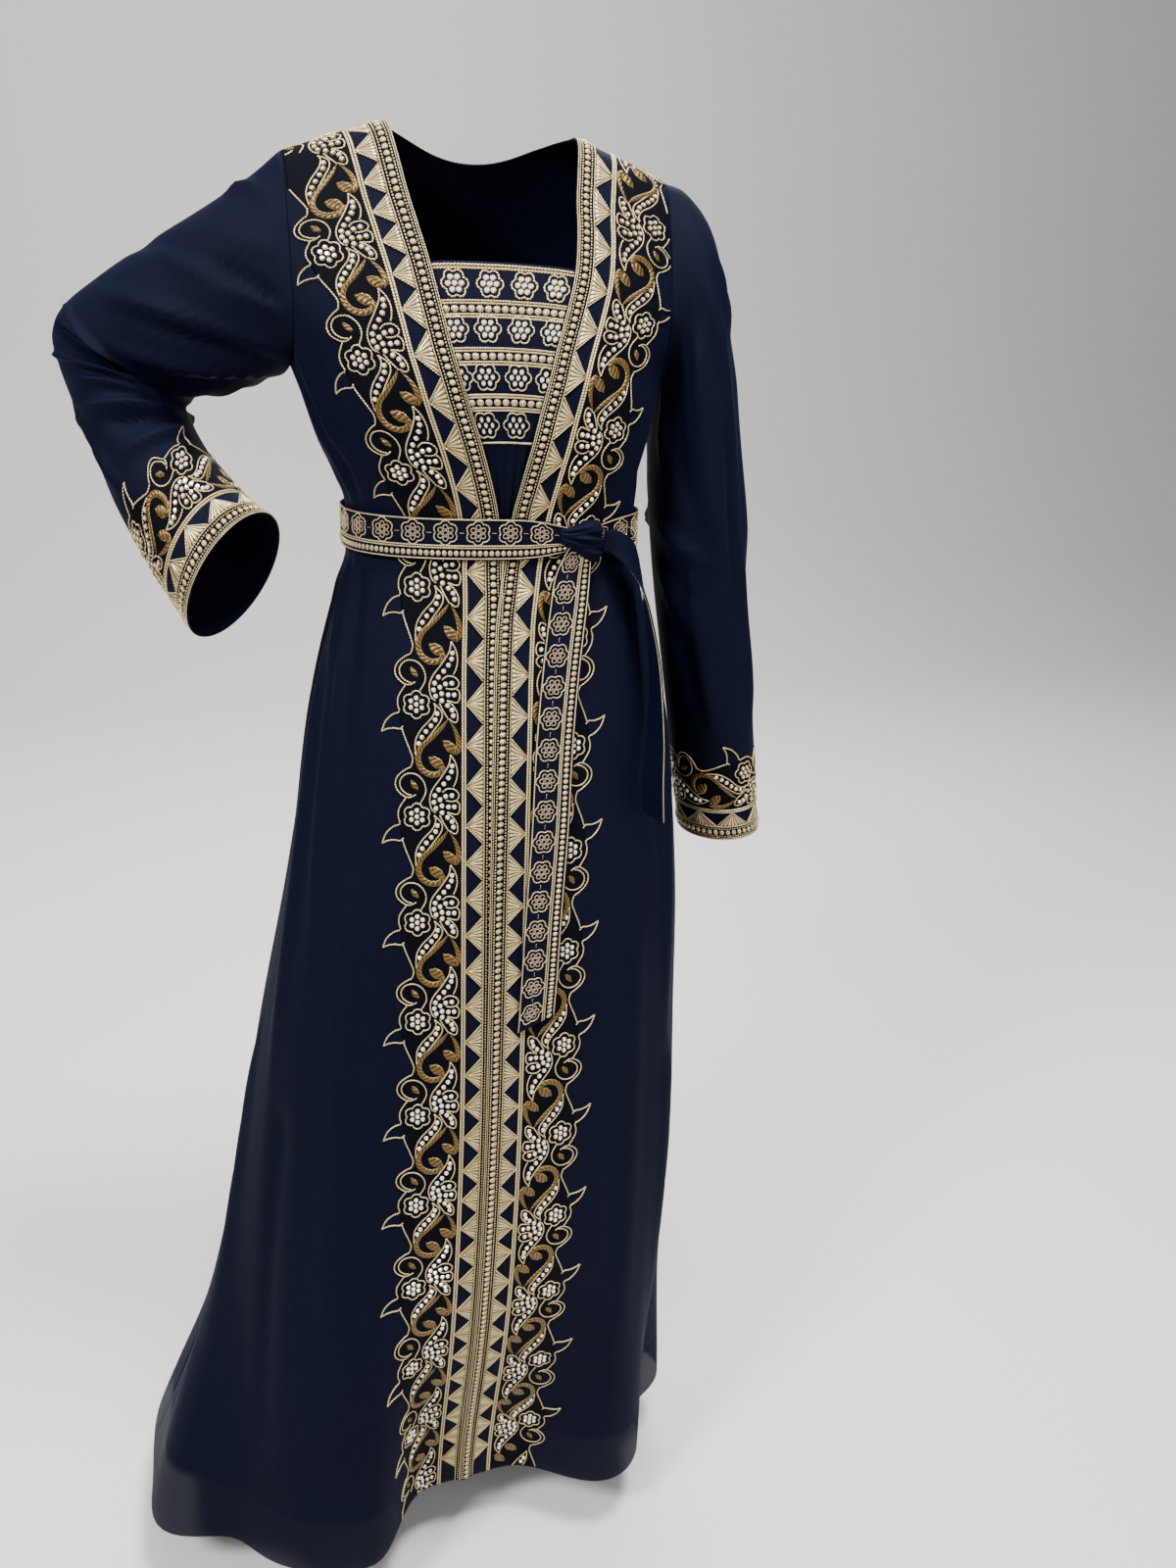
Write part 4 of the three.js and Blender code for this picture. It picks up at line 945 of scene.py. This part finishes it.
# One repeat of the scroll border: along and across from the front edge.
scroll = {
    "repeat": 109,
    "across": ([41.6, 52.8, 87, 123.5], [39.5, 48, 79.5, 113.5]),  # chart place, place on the cloth
    "cords": [
        [(12.7, 92.9), (16, 99), (22, 106), (29, 108.8), (36, 106.8), (41.5, 100), (42.5, 94), (39.5, 88)],
        [(48, 83.5), (38, 78.2), (29, 79), (22, 84), (19, 91), (20.5, 99), (27, 104), (34, 103), (39, 97.5),
         (40.5, 92)],
        [(43, 98), (49, 102.2), (55, 105.4), (62, 106), (69, 104.4), (72, 111), (79, 118.5), (89.5, 123)],
        [(89.5, 123), (86.5, 117), (85.2, 110), (85.6, 104), (82.6, 100.6)],
        [(84.5, 102), (94, 98.6), (104, 94.4), (114, 91), (121.7, 92.9)],
        [(0, 52.8), (8.5, 46.8), (18.3, 44.6), (26.8, 46.6), (31.5, 49.5)],
        [(0, 52.8), (9.9, 54.6), (21, 61.5), (33.8, 71), (43.7, 74), (53.5, 72), (57, 67.5)],
        [(37, 61.5), (33.3, 56), (34.4, 47.5), (39.5, 42.6), (44, 44.6), (45.8, 50.5), (45, 57.5)],
        [(45.5, 46), (47.5, 42.6), (53, 41.6), (58, 43.5), (58.6, 47.5), (56.4, 56)],
        [(56.4, 56.5), (62, 49.5), (69, 44.6), (76, 44.6), (78, 48), (74.5, 54.5)],
        [(59, 64), (66, 60.5), (75, 55)],
        [(59.2, 69.5), (67.6, 61.8), (76, 62.6), (87.3, 71), (99, 79.5), (110, 88.4)],
        [(59.2, 69.5), (64.8, 68), (73.2, 71.5), (84.5, 82), (95.8, 88), (110, 88.4)],
    ],
    "satin": [
        ([(74, 55), (82, 61), (91.5, 70.5), (101.4, 81.5), (112, 85.8), (122.5, 82.6), (128.4, 73.5),
          (127, 63.5), (120.5, 60)], [(0, 0.4), (0.12, 2.0), (0.5, 2.7), (0.8, 3.1), (1, 2.6)]),
        ([(122.5, 59.5), (117.5, 66), (111.5, 75)], [(0, 1.6), (0.4, 5.4), (0.75, 4.2), (1, 0.6)]),
        ([(76.5, 53.5), (86, 47), (95.8, 43.4), (104, 43.6), (108, 48)],
         [(0, 0.4), (0.3, 1.7), (0.8, 2.8), (1, 2.6)]),
        ([(108.5, 46.5), (102.5, 52.5), (95, 60.5)], [(0, 1.6), (0.4, 5.0), (0.75, 3.8), (1, 0.6)]),
        ([(34.5, 86), (30, 90), (25.5, 93)], [(0, 1.2), (0.5, 3.0), (1, 0.8)]),
    ],
    "flower": (61.3, 87),
    "stones": [
        (11.3, 51), (17, 51.8), (23, 55), (28.8, 59.6), (34.5, 64.8), (40.3, 68.6), (46.8, 69.6),
        (52.8, 67.6), (44.2, 63.4), (41, 57.8), (40.2, 51.2), (50.3, 61.6), (51.4, 55), (51.4, 48.2),
        (57, 61.4), (61.6, 55.8), (66, 51), (71.4, 49.4), (69.6, 66.2), (75.6, 68), (81.4, 72.4),
        (87, 77.4), (92.8, 81.6), (99, 84.8),
    ],
    "rim": [
        (0, 88.5), (6, 91), (12.7, 94.4), (18, 103), (24, 109), (30, 110.4), (37, 108.4), (42, 103),
        (46, 101.6), (52, 105), (60, 107.4), (68, 106), (74, 104), (80, 103.6), (90, 101.4), (100, 97),
        (109, 93.4)],
}


def flatScroll(points, n, starts):  # chart coordinates to places along and across the border
    p = np.array(points, float)
    at = p[:, 0] + n * scroll["repeat"]
    along = np.interp(at, np.arange(len(starts)) * scroll["repeat"], starts)
    return np.stack([along, np.interp(p[:, 1], *scroll["across"])], 1)


def kept(line, limit, length):  # the stretches of a flat line that lie on the cloth
    keep = (line[:, 0] > 1) & (line[:, 0] < length - 1)
    if limit is not None:
        keep &= line[:, 1] < np.interp(line[:, 0], *limit) - 2.5
    cuts = np.flatnonzero(np.diff(np.r_[0, keep.astype(int), 0]))
    return [line[a:b] for a, b in zip(cuts[::2], cuts[1::2]) if b - a >= 4]


def scrollParts(starts, repeats, length, limit=None, closed=False):
    cords, satin, stones = [], [], []
    length = 1e9 if closed else length
    low = -1e9 if closed else 4

    def onCloth(spot, room):
        edge = np.interp(spot[0], *limit) if limit is not None else 1e9
        return low + room < spot[0] < length - 4 - room and spot[1] + 5 + room < edge

    for n in range(repeats):
        for path in scroll["cords"]:
            line = smoothPath(flatScroll(path, n, starts), 2.0)
            for part in [line] if closed else kept(line, limit, length):
                cords.append(strand(part, border["scrollCord"], 1.2))
        for path, width in scroll["satin"]:
            line = smoothPath(flatScroll(path, n, starts), 1.5)
            parts = [line] if closed else kept(line, limit, length)
            if parts and len(parts[0]) > 0.9 * len(line):
                satin.append(strand(parts[0], np.array(width), 1.5, satinShape))
        centre = flatScroll([scroll["flower"]], n, starts)[0]
        if onCloth(centre, 10):
            outline = hexafoil(centre, border["flower"])
            cords.append(strand(outline, border["scrollCord"], 1.2, closed=True))
            stones += [centre] + list(circleSpots(centre, border["petals"], 6))
        stones += [spot for spot in flatScroll(scroll["stones"], n, starts) if onCloth(spot, 0)]
    return cords, satin, stones


def evenLine(length, across, margin=1.0):
    along = np.linspace(margin, length - margin, max(4, int(length / 5)))
    return np.stack([along, np.full(len(along), across)], 1)


def bandParts(length, offset=0.0, margin=1.0):  # fine cords, dots and wound beads, 17 mm wide
    cords, beads, dots = [], [], []
    for across, half in border["cords"]:
        cords.append(strand(evenLine(length, across, margin), half, 0.8, thinShape, lift=offset))
    count = int(length / border["beadPitch"])
    along = np.linspace(4, length - 4, count) if margin else np.arange(count) * length / count
    spots = np.stack([along, np.full(count, border["beads"])], 1)
    beads.append(setMany("bead", spots, border["bead"], offset + 0.1))
    along = np.arange(2, length - 1, border["dotPitch"])
    for across in border["dots"]:
        dots.append(setMany("dot", np.stack([along, np.full(len(along), across)], 1), border["dot"],
                            offset + 0.1))
    return cords, beads, dots


def toothPatch(base0, base1, apex, columns=20, rows=5):  # one satin triangle, its threads fanned from the tip
    u, v = np.meshgrid(np.linspace(0, 1, columns + 1), np.linspace(0, 0.965, rows + 1), indexing="ij")
    base = np.array(base0)[None, None] * (1 - u[..., None]) + np.array(base1)[None, None] * u[..., None]
    flatSpots = base * (1 - v[..., None]) + np.array(apex)[None, None] * v[..., None]
    edge = np.minimum(1, np.minimum(u, 1 - u) * 14) ** 0.5
    ribs = np.where(np.arange(columns + 1) % 2 == 0, 1.0, 0.35)[:, None]
    middleRib = 1 + 0.25 * np.exp(-(((u - 0.5) / 0.05) ** 2))
    high = (0.3 + 1.15 * edge * ribs * middleRib) * (1 - 0.25 * v)
    top = np.concatenate([flatSpots, high[..., None]], 2).reshape(-1, 3)
    under = top.copy()
    under[:, 2] = -0.2
    spots = np.vstack([top, under])
    n, m = columns + 1, rows + 1
    i, j = np.meshgrid(np.arange(columns), np.arange(rows), indexing="ij")
    quad = np.stack([i * m + j, (i + 1) * m + j, (i + 1) * m + j + 1, i * m + j + 1], 2).reshape(-1, 4)
    faces = quad.tolist() + (quad[:, ::-1] + n * m).tolist()
    loop = [k * m for k in range(n)] + [(n - 1) * m + k for k in range(1, m)]
    loop += [k * m + m - 1 for k in range(n - 2, -1, -1)] + [k for k in range(m - 2, 0, -1)]
    for a, b in zip(loop, loop[1:] + loop[:1]):
        faces.append([a + n * m, b + n * m, b, a])
    uv = np.column_stack([np.tile((u * columns + 1).reshape(-1), 2), np.tile((v * 8).reshape(-1), 2)])
    turn = (base1[0] - base0[0]) * (apex[1] - base0[1]) - (base1[1] - base0[1]) * (apex[0] - base0[0])
    if turn < 0:
        faces = [f[::-1] for f in faces]
    return spots, faces, uv


def teethParts(tips, length, closed=False):
    satin, cords = [], []
    low, tip, line = border["toothFoot"], border["toothTip"], border["line"]
    for before, mid, after in zip(tips, tips[1:], tips[2:]):
        left, right = (before + mid) / 2 + 0.7, (mid + after) / 2 - 0.7
        if not closed and (left < 1 or right > length - 1):
            continue
        satin.append(toothPatch((left, low), (right, low), (mid, tip)))
        for corner, shift in ((left, -0.4), (right, 0.4)):
            cords.append(strand(np.linspace((corner, low), (mid + shift, tip), 9), 0.6, 1.5, thinShape))
    for across in (line - 1.25, line + 1.25):
        cords.append(strand(evenLine(length, across, 0.0 if closed else 1.0), 1.05, 1.3))
    return satin, cords


def groundSpots(starts, length, limit=None):  # dark ground under the scrolls
    inner = border["ground"]
    along = np.arange(0.5, length + 0.1, 3.0)
    if limit is None:
        along = np.linspace(0, length, len(along))
    rim = np.array(scroll["rim"])
    chart = np.arange(len(starts)) * scroll["repeat"]
    order = np.argsort(starts)
    share = np.interp(along, np.array(starts)[order], chart[order]) % scroll["repeat"]
    outer = np.interp(np.interp(share, rim[:, 0], rim[:, 1]), *scroll["across"])
    if limit is not None:
        outer = np.minimum(outer, np.interp(along, *limit) - 1.5)
    across = inner + (outer[:, None] - inner) * np.linspace(0, 1, 25)[None]
    return np.stack([np.repeat(along[:, None], 25, 1), across], 2)


def groundPiece(name, table, spots):
    rows, columns = spots.shape[:2]
    flatSpots = np.column_stack([spots.reshape(-1, 2), np.full(rows * columns, 0.42)])
    grid = lay(table, flatSpots).reshape(rows, columns, 3)
    uv = np.stack([spots[..., 1], -spots[..., 0]], 2)
    lifted = lay(table, flatSpots + [0, 0, 5]).reshape(rows, columns, 3)
    mid = (lifted - grid)[rows // 2, columns // 2]
    return clothPiece(name, grid, uv, lambda p: Vector(mid), 0.3, ground)


# Where each repeat of the scrolls and each tooth stands, in millimetres down the front edge.
frontPlan = {
    "right": {
        "scroll": [
            -92, -10, 84, 170, 271, 382, 493, 598, 704, 805, 904, 1004, 1099, 1199, 1311, 1420, 1526,
            1632,
        ],
        "teeth": [
            -8, 20, 48, 79, 106, 132, 161, 191, 230, 270, 310, 350, 390, 430, 471, 511, 551, 590, 629,
            667, 703, 739, 775, 811, 848, 885, 920, 954, 988, 1024, 1057, 1090, 1122, 1156, 1195, 1230,
            1266, 1302, 1338, 1374, 1410, 1446, 1482,
        ],
    },
    "left": {
        "scroll": [
            1670, 1566, 1462, 1366, 1251, 1148, 1053, 957, 858, 757, 652, 551, 447, 343, 240, 140, 40,
            -60, -160,
        ],
        "teeth": [
            -20, 16, 53, 90, 127, 165, 202, 244, 283, 323, 364, 405, 446, 486, 525, 564, 603, 641, 677,
            714, 749, 784, 818, 852, 889, 926, 960, 994, 1030, 1064, 1097, 1128, 1167, 1205, 1243, 1279,
            1321, 1366, 1404, 1442, 1480,
        ],
    },
}
perStone = len(templates["stone"][1])


def stoneFaces(count):  # the cup below and the glass above
    return [0 if k % perStone < perStone // 2 else 1 for k in range(count)]


def addStones(name, stones, table, size=border["stone"]):
    part = setMany("stone", stones, (size, size, size * 0.82), 0.35)
    return joinPiece(name, [part], table, [stoneCup, stoneGlass], False, stoneFaces)


def borderPieces(name, table, starts, repeats, tips, length, limit=None, closed=False, lift=0.9):
    cords, satin, stones = scrollParts(starts, repeats, length, limit, closed)
    teeth, lines = teethParts(tips, length, closed)
    bandCords, beads, dots = bandParts(length, lift, 0.0 if closed else 1.0)
    made = [groundPiece(name + "Ground", table, groundSpots(starts, length, limit))]
    made += stitched(name, table, [("ScrollCords", cords, creamCord), ("ScrollSatin", satin, goldSatin)])
    made.append(addStones(name + "Stones", stones, table))
    return made + stitched(name, table, [
        ("Teeth", teeth, creamSatin), ("BandCords", bandCords + lines, creamCord),
        ("BandBeads", beads, beadLook), ("BandDots", dots, beadLook)])


def tapePiece(name, table, spots, count, node):  # the woven strip that the beads are sewn on
    flat = np.array([(a, w, 0.9) for a in spots for w in np.linspace(0, tapeWidth, 7)])
    grid = lay(table, flat).reshape(count, 7, 3)
    lifted = lay(table, flat + [0, 0, 1]).reshape(count, 7, 3) - grid
    mid = lifted[count // 2, 3]
    return clothPiece(name, grid, gridUv(grid), lambda p: Vector(mid), 0.6, ground, node)


def facing(g):  # forwards
    return np.broadcast_to(np.array([0.0, -1.0, 0.0]), g.shape)


for name in ("right", "left"):
    front = fronts[name]
    along = front["along"]
    table = makeTable(front["border"], along, borderSteps, facing)
    levelAt = np.interp([374, 369, 329, 324], -np.array(bodyLevels), along)[::-1]
    table["cap"] = (levelAt, [9, 1.95, 1.95, 9])
    made = [tapePiece(name + "FrontTape", table, along, len(along), "front_tape_" + name)]
    made += borderPieces(name + "Front", table, frontPlan[name]["scroll"], len(frontPlan[name]["scroll"]) - 2,
                         frontPlan[name]["teeth"], along[-1], (along, front["limits"]))
print("front borders ready")

# Cuffs: the same border round the sleeve's end, measured up from the rim.
cuffPlan = {"repeat": 104, "tooth": 37}  # about how long each is; whole ones fill the round
for name in ("right", "left"):
    grid = sleeves[name]["grid"][::-1]
    columns = []
    for j in range(grid.shape[1]):
        run = arcs(grid[:, j])
        columns.append(np.stack([np.interp(borderSteps, run, grid[:, j, k]) for k in range(3)], 1))
    columns = np.array(columns + columns[:1])
    along = arcs(columns[:, 0])
    length = along[-1]
    table = makeTable(columns, along, borderSteps, lambda g: g - g.mean(0))
    table["round"] = length + 1e-6
    repeats, toothCount = (round(length / cuffPlan[kind]) for kind in ("repeat", "tooth"))
    starts = [length * k / repeats for k in range(-1, repeats + 3)]
    tips = [length * k / toothCount for k in range(-1, toothCount + 1)]
    flat = np.array([(a, w, 0.9) for a in along[:-1] for w in np.linspace(0, tapeWidth, 5)])
    strip = lay(table, flat).reshape(len(along) - 1, 5, 3).transpose(1, 0, 2)
    centre = strip.mean((0, 1))

    def fromCentre(p, middle=centre):
        return (p - Vector(middle)).normalized()

    made = [clothPiece(name + "CuffTape", strip, gridUv(strip, True), fromCentre, 0.6, ground,
                       "cuff_tape_" + name, around=True)]
    made += borderPieces(name + "Cuff", table, starts, repeats, tips, length, closed=True)
print("cuffs ready")

# Tape round the back neck.
neckSteps = np.linspace(0, 1, 8)
neckPoints = []
for a in np.linspace(-math.pi / 2, math.pi / 2, 61):
    row = []
    for across in neckSteps:
        x = (neckHalf + across * tapeWidth) * math.sin(a)
        y = (neckDepth + across * (tapeWidth - 5)) * math.cos(a)
        row.append(backSpot(x, float(levelOfDepth(y / float(bulgeAt(neckSection, x))))))
    neckPoints.append(row)
neckPoints = np.array(neckPoints)
neckAlong = arcs(neckPoints[:, 0])
neckTable = makeTable(neckPoints, neckAlong, neckSteps * tapeWidth, lambda g: g * 0 + [0, 0.6, 0.8])
neckTape = tapePiece("neckTapeBand", neckTable, neckAlong, len(neckAlong), "neck_tape")
bandCords, beads, dots = bandParts(neckAlong[-1], 0.9)
neckPieces = [neckTape] + stitched("neckBand", neckTable, [
    ("Cords", bandCords, creamCord), ("Beads", beads, beadLook), ("Dots", dots, beadLook)])

# Chest inset: rows of flowers between ropes; along is sideways from its middle, across is downwards.
chestPlan = {
    "rows": [(-132, (-43, -13, 17, 46)), (-168, (-43, -15, 14, 43)), (-207, (-40, -17, 11, 38)),
             (-247, (-18, 9))],
    "ropes": [-152, -190, -228],
    "cords": [-117, -119.6, -262],
    "flower": 10.3, "petals": 5.7, "rope": (-6.6, -4.4, 4.4, 6.6), "beadPitch": 6.6, "stone": 2.6,
}
chestPoints = insetGrid.transpose(1, 0, 2)
chestAlong = arcs(chestPoints[:, 8])
chestAlong -= chestAlong[-1] / 2
chestAcross = -insetLevels
chestTable = makeTable(chestPoints, chestAlong, chestAcross, facing)
halfAt = sectionAt(-150)["edge"] + insetUnder
cords, stones, beads = [], [], []


def chestLine(level):  # a level line across the inset, short of its sides
    return np.stack([np.linspace(-halfAt + 1.5, halfAt - 1.5, 40), np.full(40, -float(level))], 1)


for level, places in chestPlan["rows"]:
    room = sectionAt(level)["edge"] + insetUnder
    wide = halfAt / room
    for x in places:
        if abs(x) + 11 < room:
            ring = hexafoil((x, -level), chestPlan["flower"])
            ring[:, 0] *= wide
            cords.append(strand(ring, 0.8, 1.1, closed=True))
            petals = list(circleSpots((x, -level), chestPlan["petals"], 6))
            stones += [(q[0] * wide, q[1]) for q in [(x, -level)] + petals]
for level in chestPlan["ropes"]:
    wide = halfAt / (sectionAt(level)["edge"] + insetUnder)
    for shift in chestPlan["rope"]:
        cords.append(strand(chestLine(level + shift), 0.85, 1.1))
    count = int(2 * (halfAt - 3) / wide / chestPlan["beadPitch"])
    spots = np.stack([np.linspace(-halfAt + 4, halfAt - 4, count), np.full(count, -float(level))], 1)
    beads.append(setMany("bead", spots, (3.2 * wide, 3.0, 1.6), 0.2))
for level in chestPlan["cords"]:
    cords.append(strand(chestLine(level), 1.0, 1.2))
chestPieces = stitched("chest", chestTable, [("Cords", cords, creamCord), ("Beads", beads, beadLook)])
chestPieces.append(addStones("chestStones", stones, chestTable, chestPlan["stone"]))
print("chest ready")

# Belt: thread flowers between cords and a row of wound beads along the lower or outer edge.
beltPlan = {"pitch": 29.5, "flower": 13.0, "radius": 10.2, "petal": 2.2, "cords": (0.9, 24.6, 26.6, 36.4),
            "beads": 31.5, "bead": 5.4, "ring": 5.3, "link": 12.6}


def beltParts(length, first, last, closed=False):
    cords, flowers = [], []
    for across in beltPlan["cords"]:
        line = evenLine(length, across, 0.0 if closed else 1.0)
        cords.append(strand(line, 0.62, 0.9))
    count = max(1, round((last - first) / beltPlan["pitch"]))
    pitch = (last - first) / count
    for k in range(count if closed else count + 1):
        centre = (first + k * pitch, beltPlan["flower"])
        outline = hexafoil(centre, beltPlan["radius"], 0.15, turn=math.pi / 6)
        cords.append(strand(outline, 0.6, 0.9, closed=True))
        for spot in [centre] + list(circleSpots(centre, beltPlan["ring"], 6, math.pi / 6)):
            flowers.append(strand(circleSpots(spot, beltPlan["petal"], 9), 0.5, 0.8, thinShape, closed=True))
        if k < count:
            ends = centre[0] + beltPlan["link"], centre[0] + pitch - beltPlan["link"]
            link = np.stack([np.linspace(*ends, 4), np.full(4, centre[1])], 1)
            flowers.append(strand(link, 0.25, 0.4, thinShape))
    beadCount = int(length / beltPlan["bead"])
    along = (np.arange(beadCount) + 0.5) * length / beadCount
    spots = np.stack([along, np.full(beadCount, beltPlan["beads"])], 1)
    return cords, flowers, [setMany("bead", spots, (2.2, 2.7, 1.5), 0.1)]


def beltPieces(name, table, parts):
    cords, flowers, beads = parts
    return stitched(name, table, [("Cords", cords, creamCord), ("Flowers", flowers, duskThread),
                                  ("Beads", beads, beadLook)])


loopPoints = beltGrid.transpose(1, 0, 2)
loopPoints = np.concatenate([loopPoints, loopPoints[:1]])
loopAlong = arcs(loopPoints[:, 6])
loopTable = makeTable(loopPoints, loopAlong, np.linspace(0, belt["height"], 13), lambda g: g - g.mean(0))
loopTable["round"] = loopAlong[-1] + 1e-6
loopParts = beltPieces("beltLoop", loopTable, beltParts(loopAlong[-1], 0, loopAlong[-1], closed=True))
longAlong = arcs(longGrid[:, 0])
longTable = makeTable(longGrid, longAlong, np.linspace(0, belt["height"], longGrid.shape[1]), facing)
longParts = beltPieces("beltLong", longTable, beltParts(longAlong[-1], 20, longAlong[-1] - 16))
shortAlong = arcs(shortGrid.mean(1))
shortTable = makeTable(shortGrid, shortAlong, np.linspace(0, belt["height"], shortGrid.shape[1]), facing)
cords, flowers, beads = beltParts(78.0, 36, 66)
cords = cords[1:3] + cords[4:] + [strand(evenLine(shortAlong[-1], 0.9), 0.8, 1.0)]
shortParts = beltPieces("beltShort", shortTable, (cords, flowers, beads))
print("belt stitched")

# The cloth with the sizes it was cut to.

cutSizes = {  # width, length and the cloth's own area, in metres
    "rightFront": (0.53, 1.49, 0.42), "leftFront": (0.41, 1.49, 0.42), "back": (0.89, 1.48, 0.83),
    "rightSleeve": (0.42, 0.50, 0.17), "leftSleeve": (0.42, 0.66, 0.20),
    "chest": (0.157, 0.285, 0.026), "beltLoop": (0.038, 0.83), "beltLong": (0.038, 0.48),
    "beltShort": (0.038, 0.285), "knot": (0.038, 0.060),
}
for name in ("right", "left"):
    width, length, area = cutSizes[name + "Front"]
    width, length, area = cutSizes[name + "Sleeve"]
width, length, area = cutSizes["back"]
width, length, area = cutSizes["chest"]

# Camera, floor and light.

view = {  # place, and the directions of the picture's right and up
    "place": (-0.23725, -1.16611, -0.1773),
    "right": (0.958086, -0.283783, 0.039224),
    "up": (0.064313, 0.346479, 0.935851),
    "lens": 27.05,
}
camera = addObject("camera", bpy.data.cameras.new("camera"))
camera.data.sensor_fit = "AUTO"
camera.data.sensor_width = 36
camera.data.lens = view["lens"]
right, up = Vector(view["right"]), Vector(view["up"])
turned = Matrix((right, up, right.cross(up))).transposed()
camera.matrix_world = Matrix.Translation(view["place"]) @ turned.to_4x4()
bpy.context.scene.camera = camera

sweep = {"level": -1.5, "front": -6.0, "turn": 3.2, "radius": 2.5, "top": 7.0, "half": 14.0,
         "parts": 26, "colour": "#d9d7d3"}  # a floor that curves up into the backdrop
bm = bmesh.new()
bmesh.ops.create_grid(bm, x_segments=1, y_segments=sweep["parts"], size=1)
for v in bm.verts:
    step = round((v.co.y + 1) / 2 * sweep["parts"])
    a = math.pi / 2 * min(max(step - 1, 0), sweep["parts"] - 2) / (sweep["parts"] - 2)
    y = sweep["turn"] + sweep["radius"] * math.sin(a) if step else sweep["front"]
    z = sweep["level"] + sweep["radius"] * (1 - math.cos(a)) if step < sweep["parts"] else sweep["top"]
    v.co = (v.co.x * sweep["half"], y, z)
for face in bm.faces:
    face.smooth = True
floor = addObject("floor", meshOf(bm, "floor"))
paint = newMaterial("floor painted matt", Base_Color=linearColour(sweep["colour"]), Roughness=0.8)
floor.data.materials.append(paint[0])

studio = {  # room light, then each soft box: place, target, size and power
    "colour": "#e6e6e8", "strength": 0.3,
    "lamps": {"key": ((-1.8, -1.3, 1.3), (0, 0, -0.3), 0.6, 130),
              "fill": ((1.9, -2.2, 0.0), (0, 0, -0.9), 1.8, 42),
              "top": ((0.4, -0.7, 2.0), (0, 0, -0.4), 0.7, 150),
              "rear": ((0.9, 2.0, 1.9), (0, 0, -0.6), 1.4, 90),
              "backdrop": ((0.0, 1.6, 2.8), (0, 4.5, 0.4), 2.5, 150)},
}
world = bpy.data.worlds.new("studio")
world.use_nodes = True
world.node_tree.nodes["Background"].inputs["Color"].default_value = linearColour(studio["colour"])
world.node_tree.nodes["Background"].inputs["Strength"].default_value = studio["strength"]
bpy.context.scene.world = world
for name, (place, target, size, power) in studio["lamps"].items():
    lamp = bpy.data.lights.new(name, "AREA")
    lamp.size = size
    lamp.energy = power
    light = addObject(name, lamp)
    way = (Vector(place) - Vector(target)).to_track_quat("Z", "Y")
    light.matrix_world = Matrix.Translation(place) @ way.to_matrix().to_4x4()

print("scene ready")
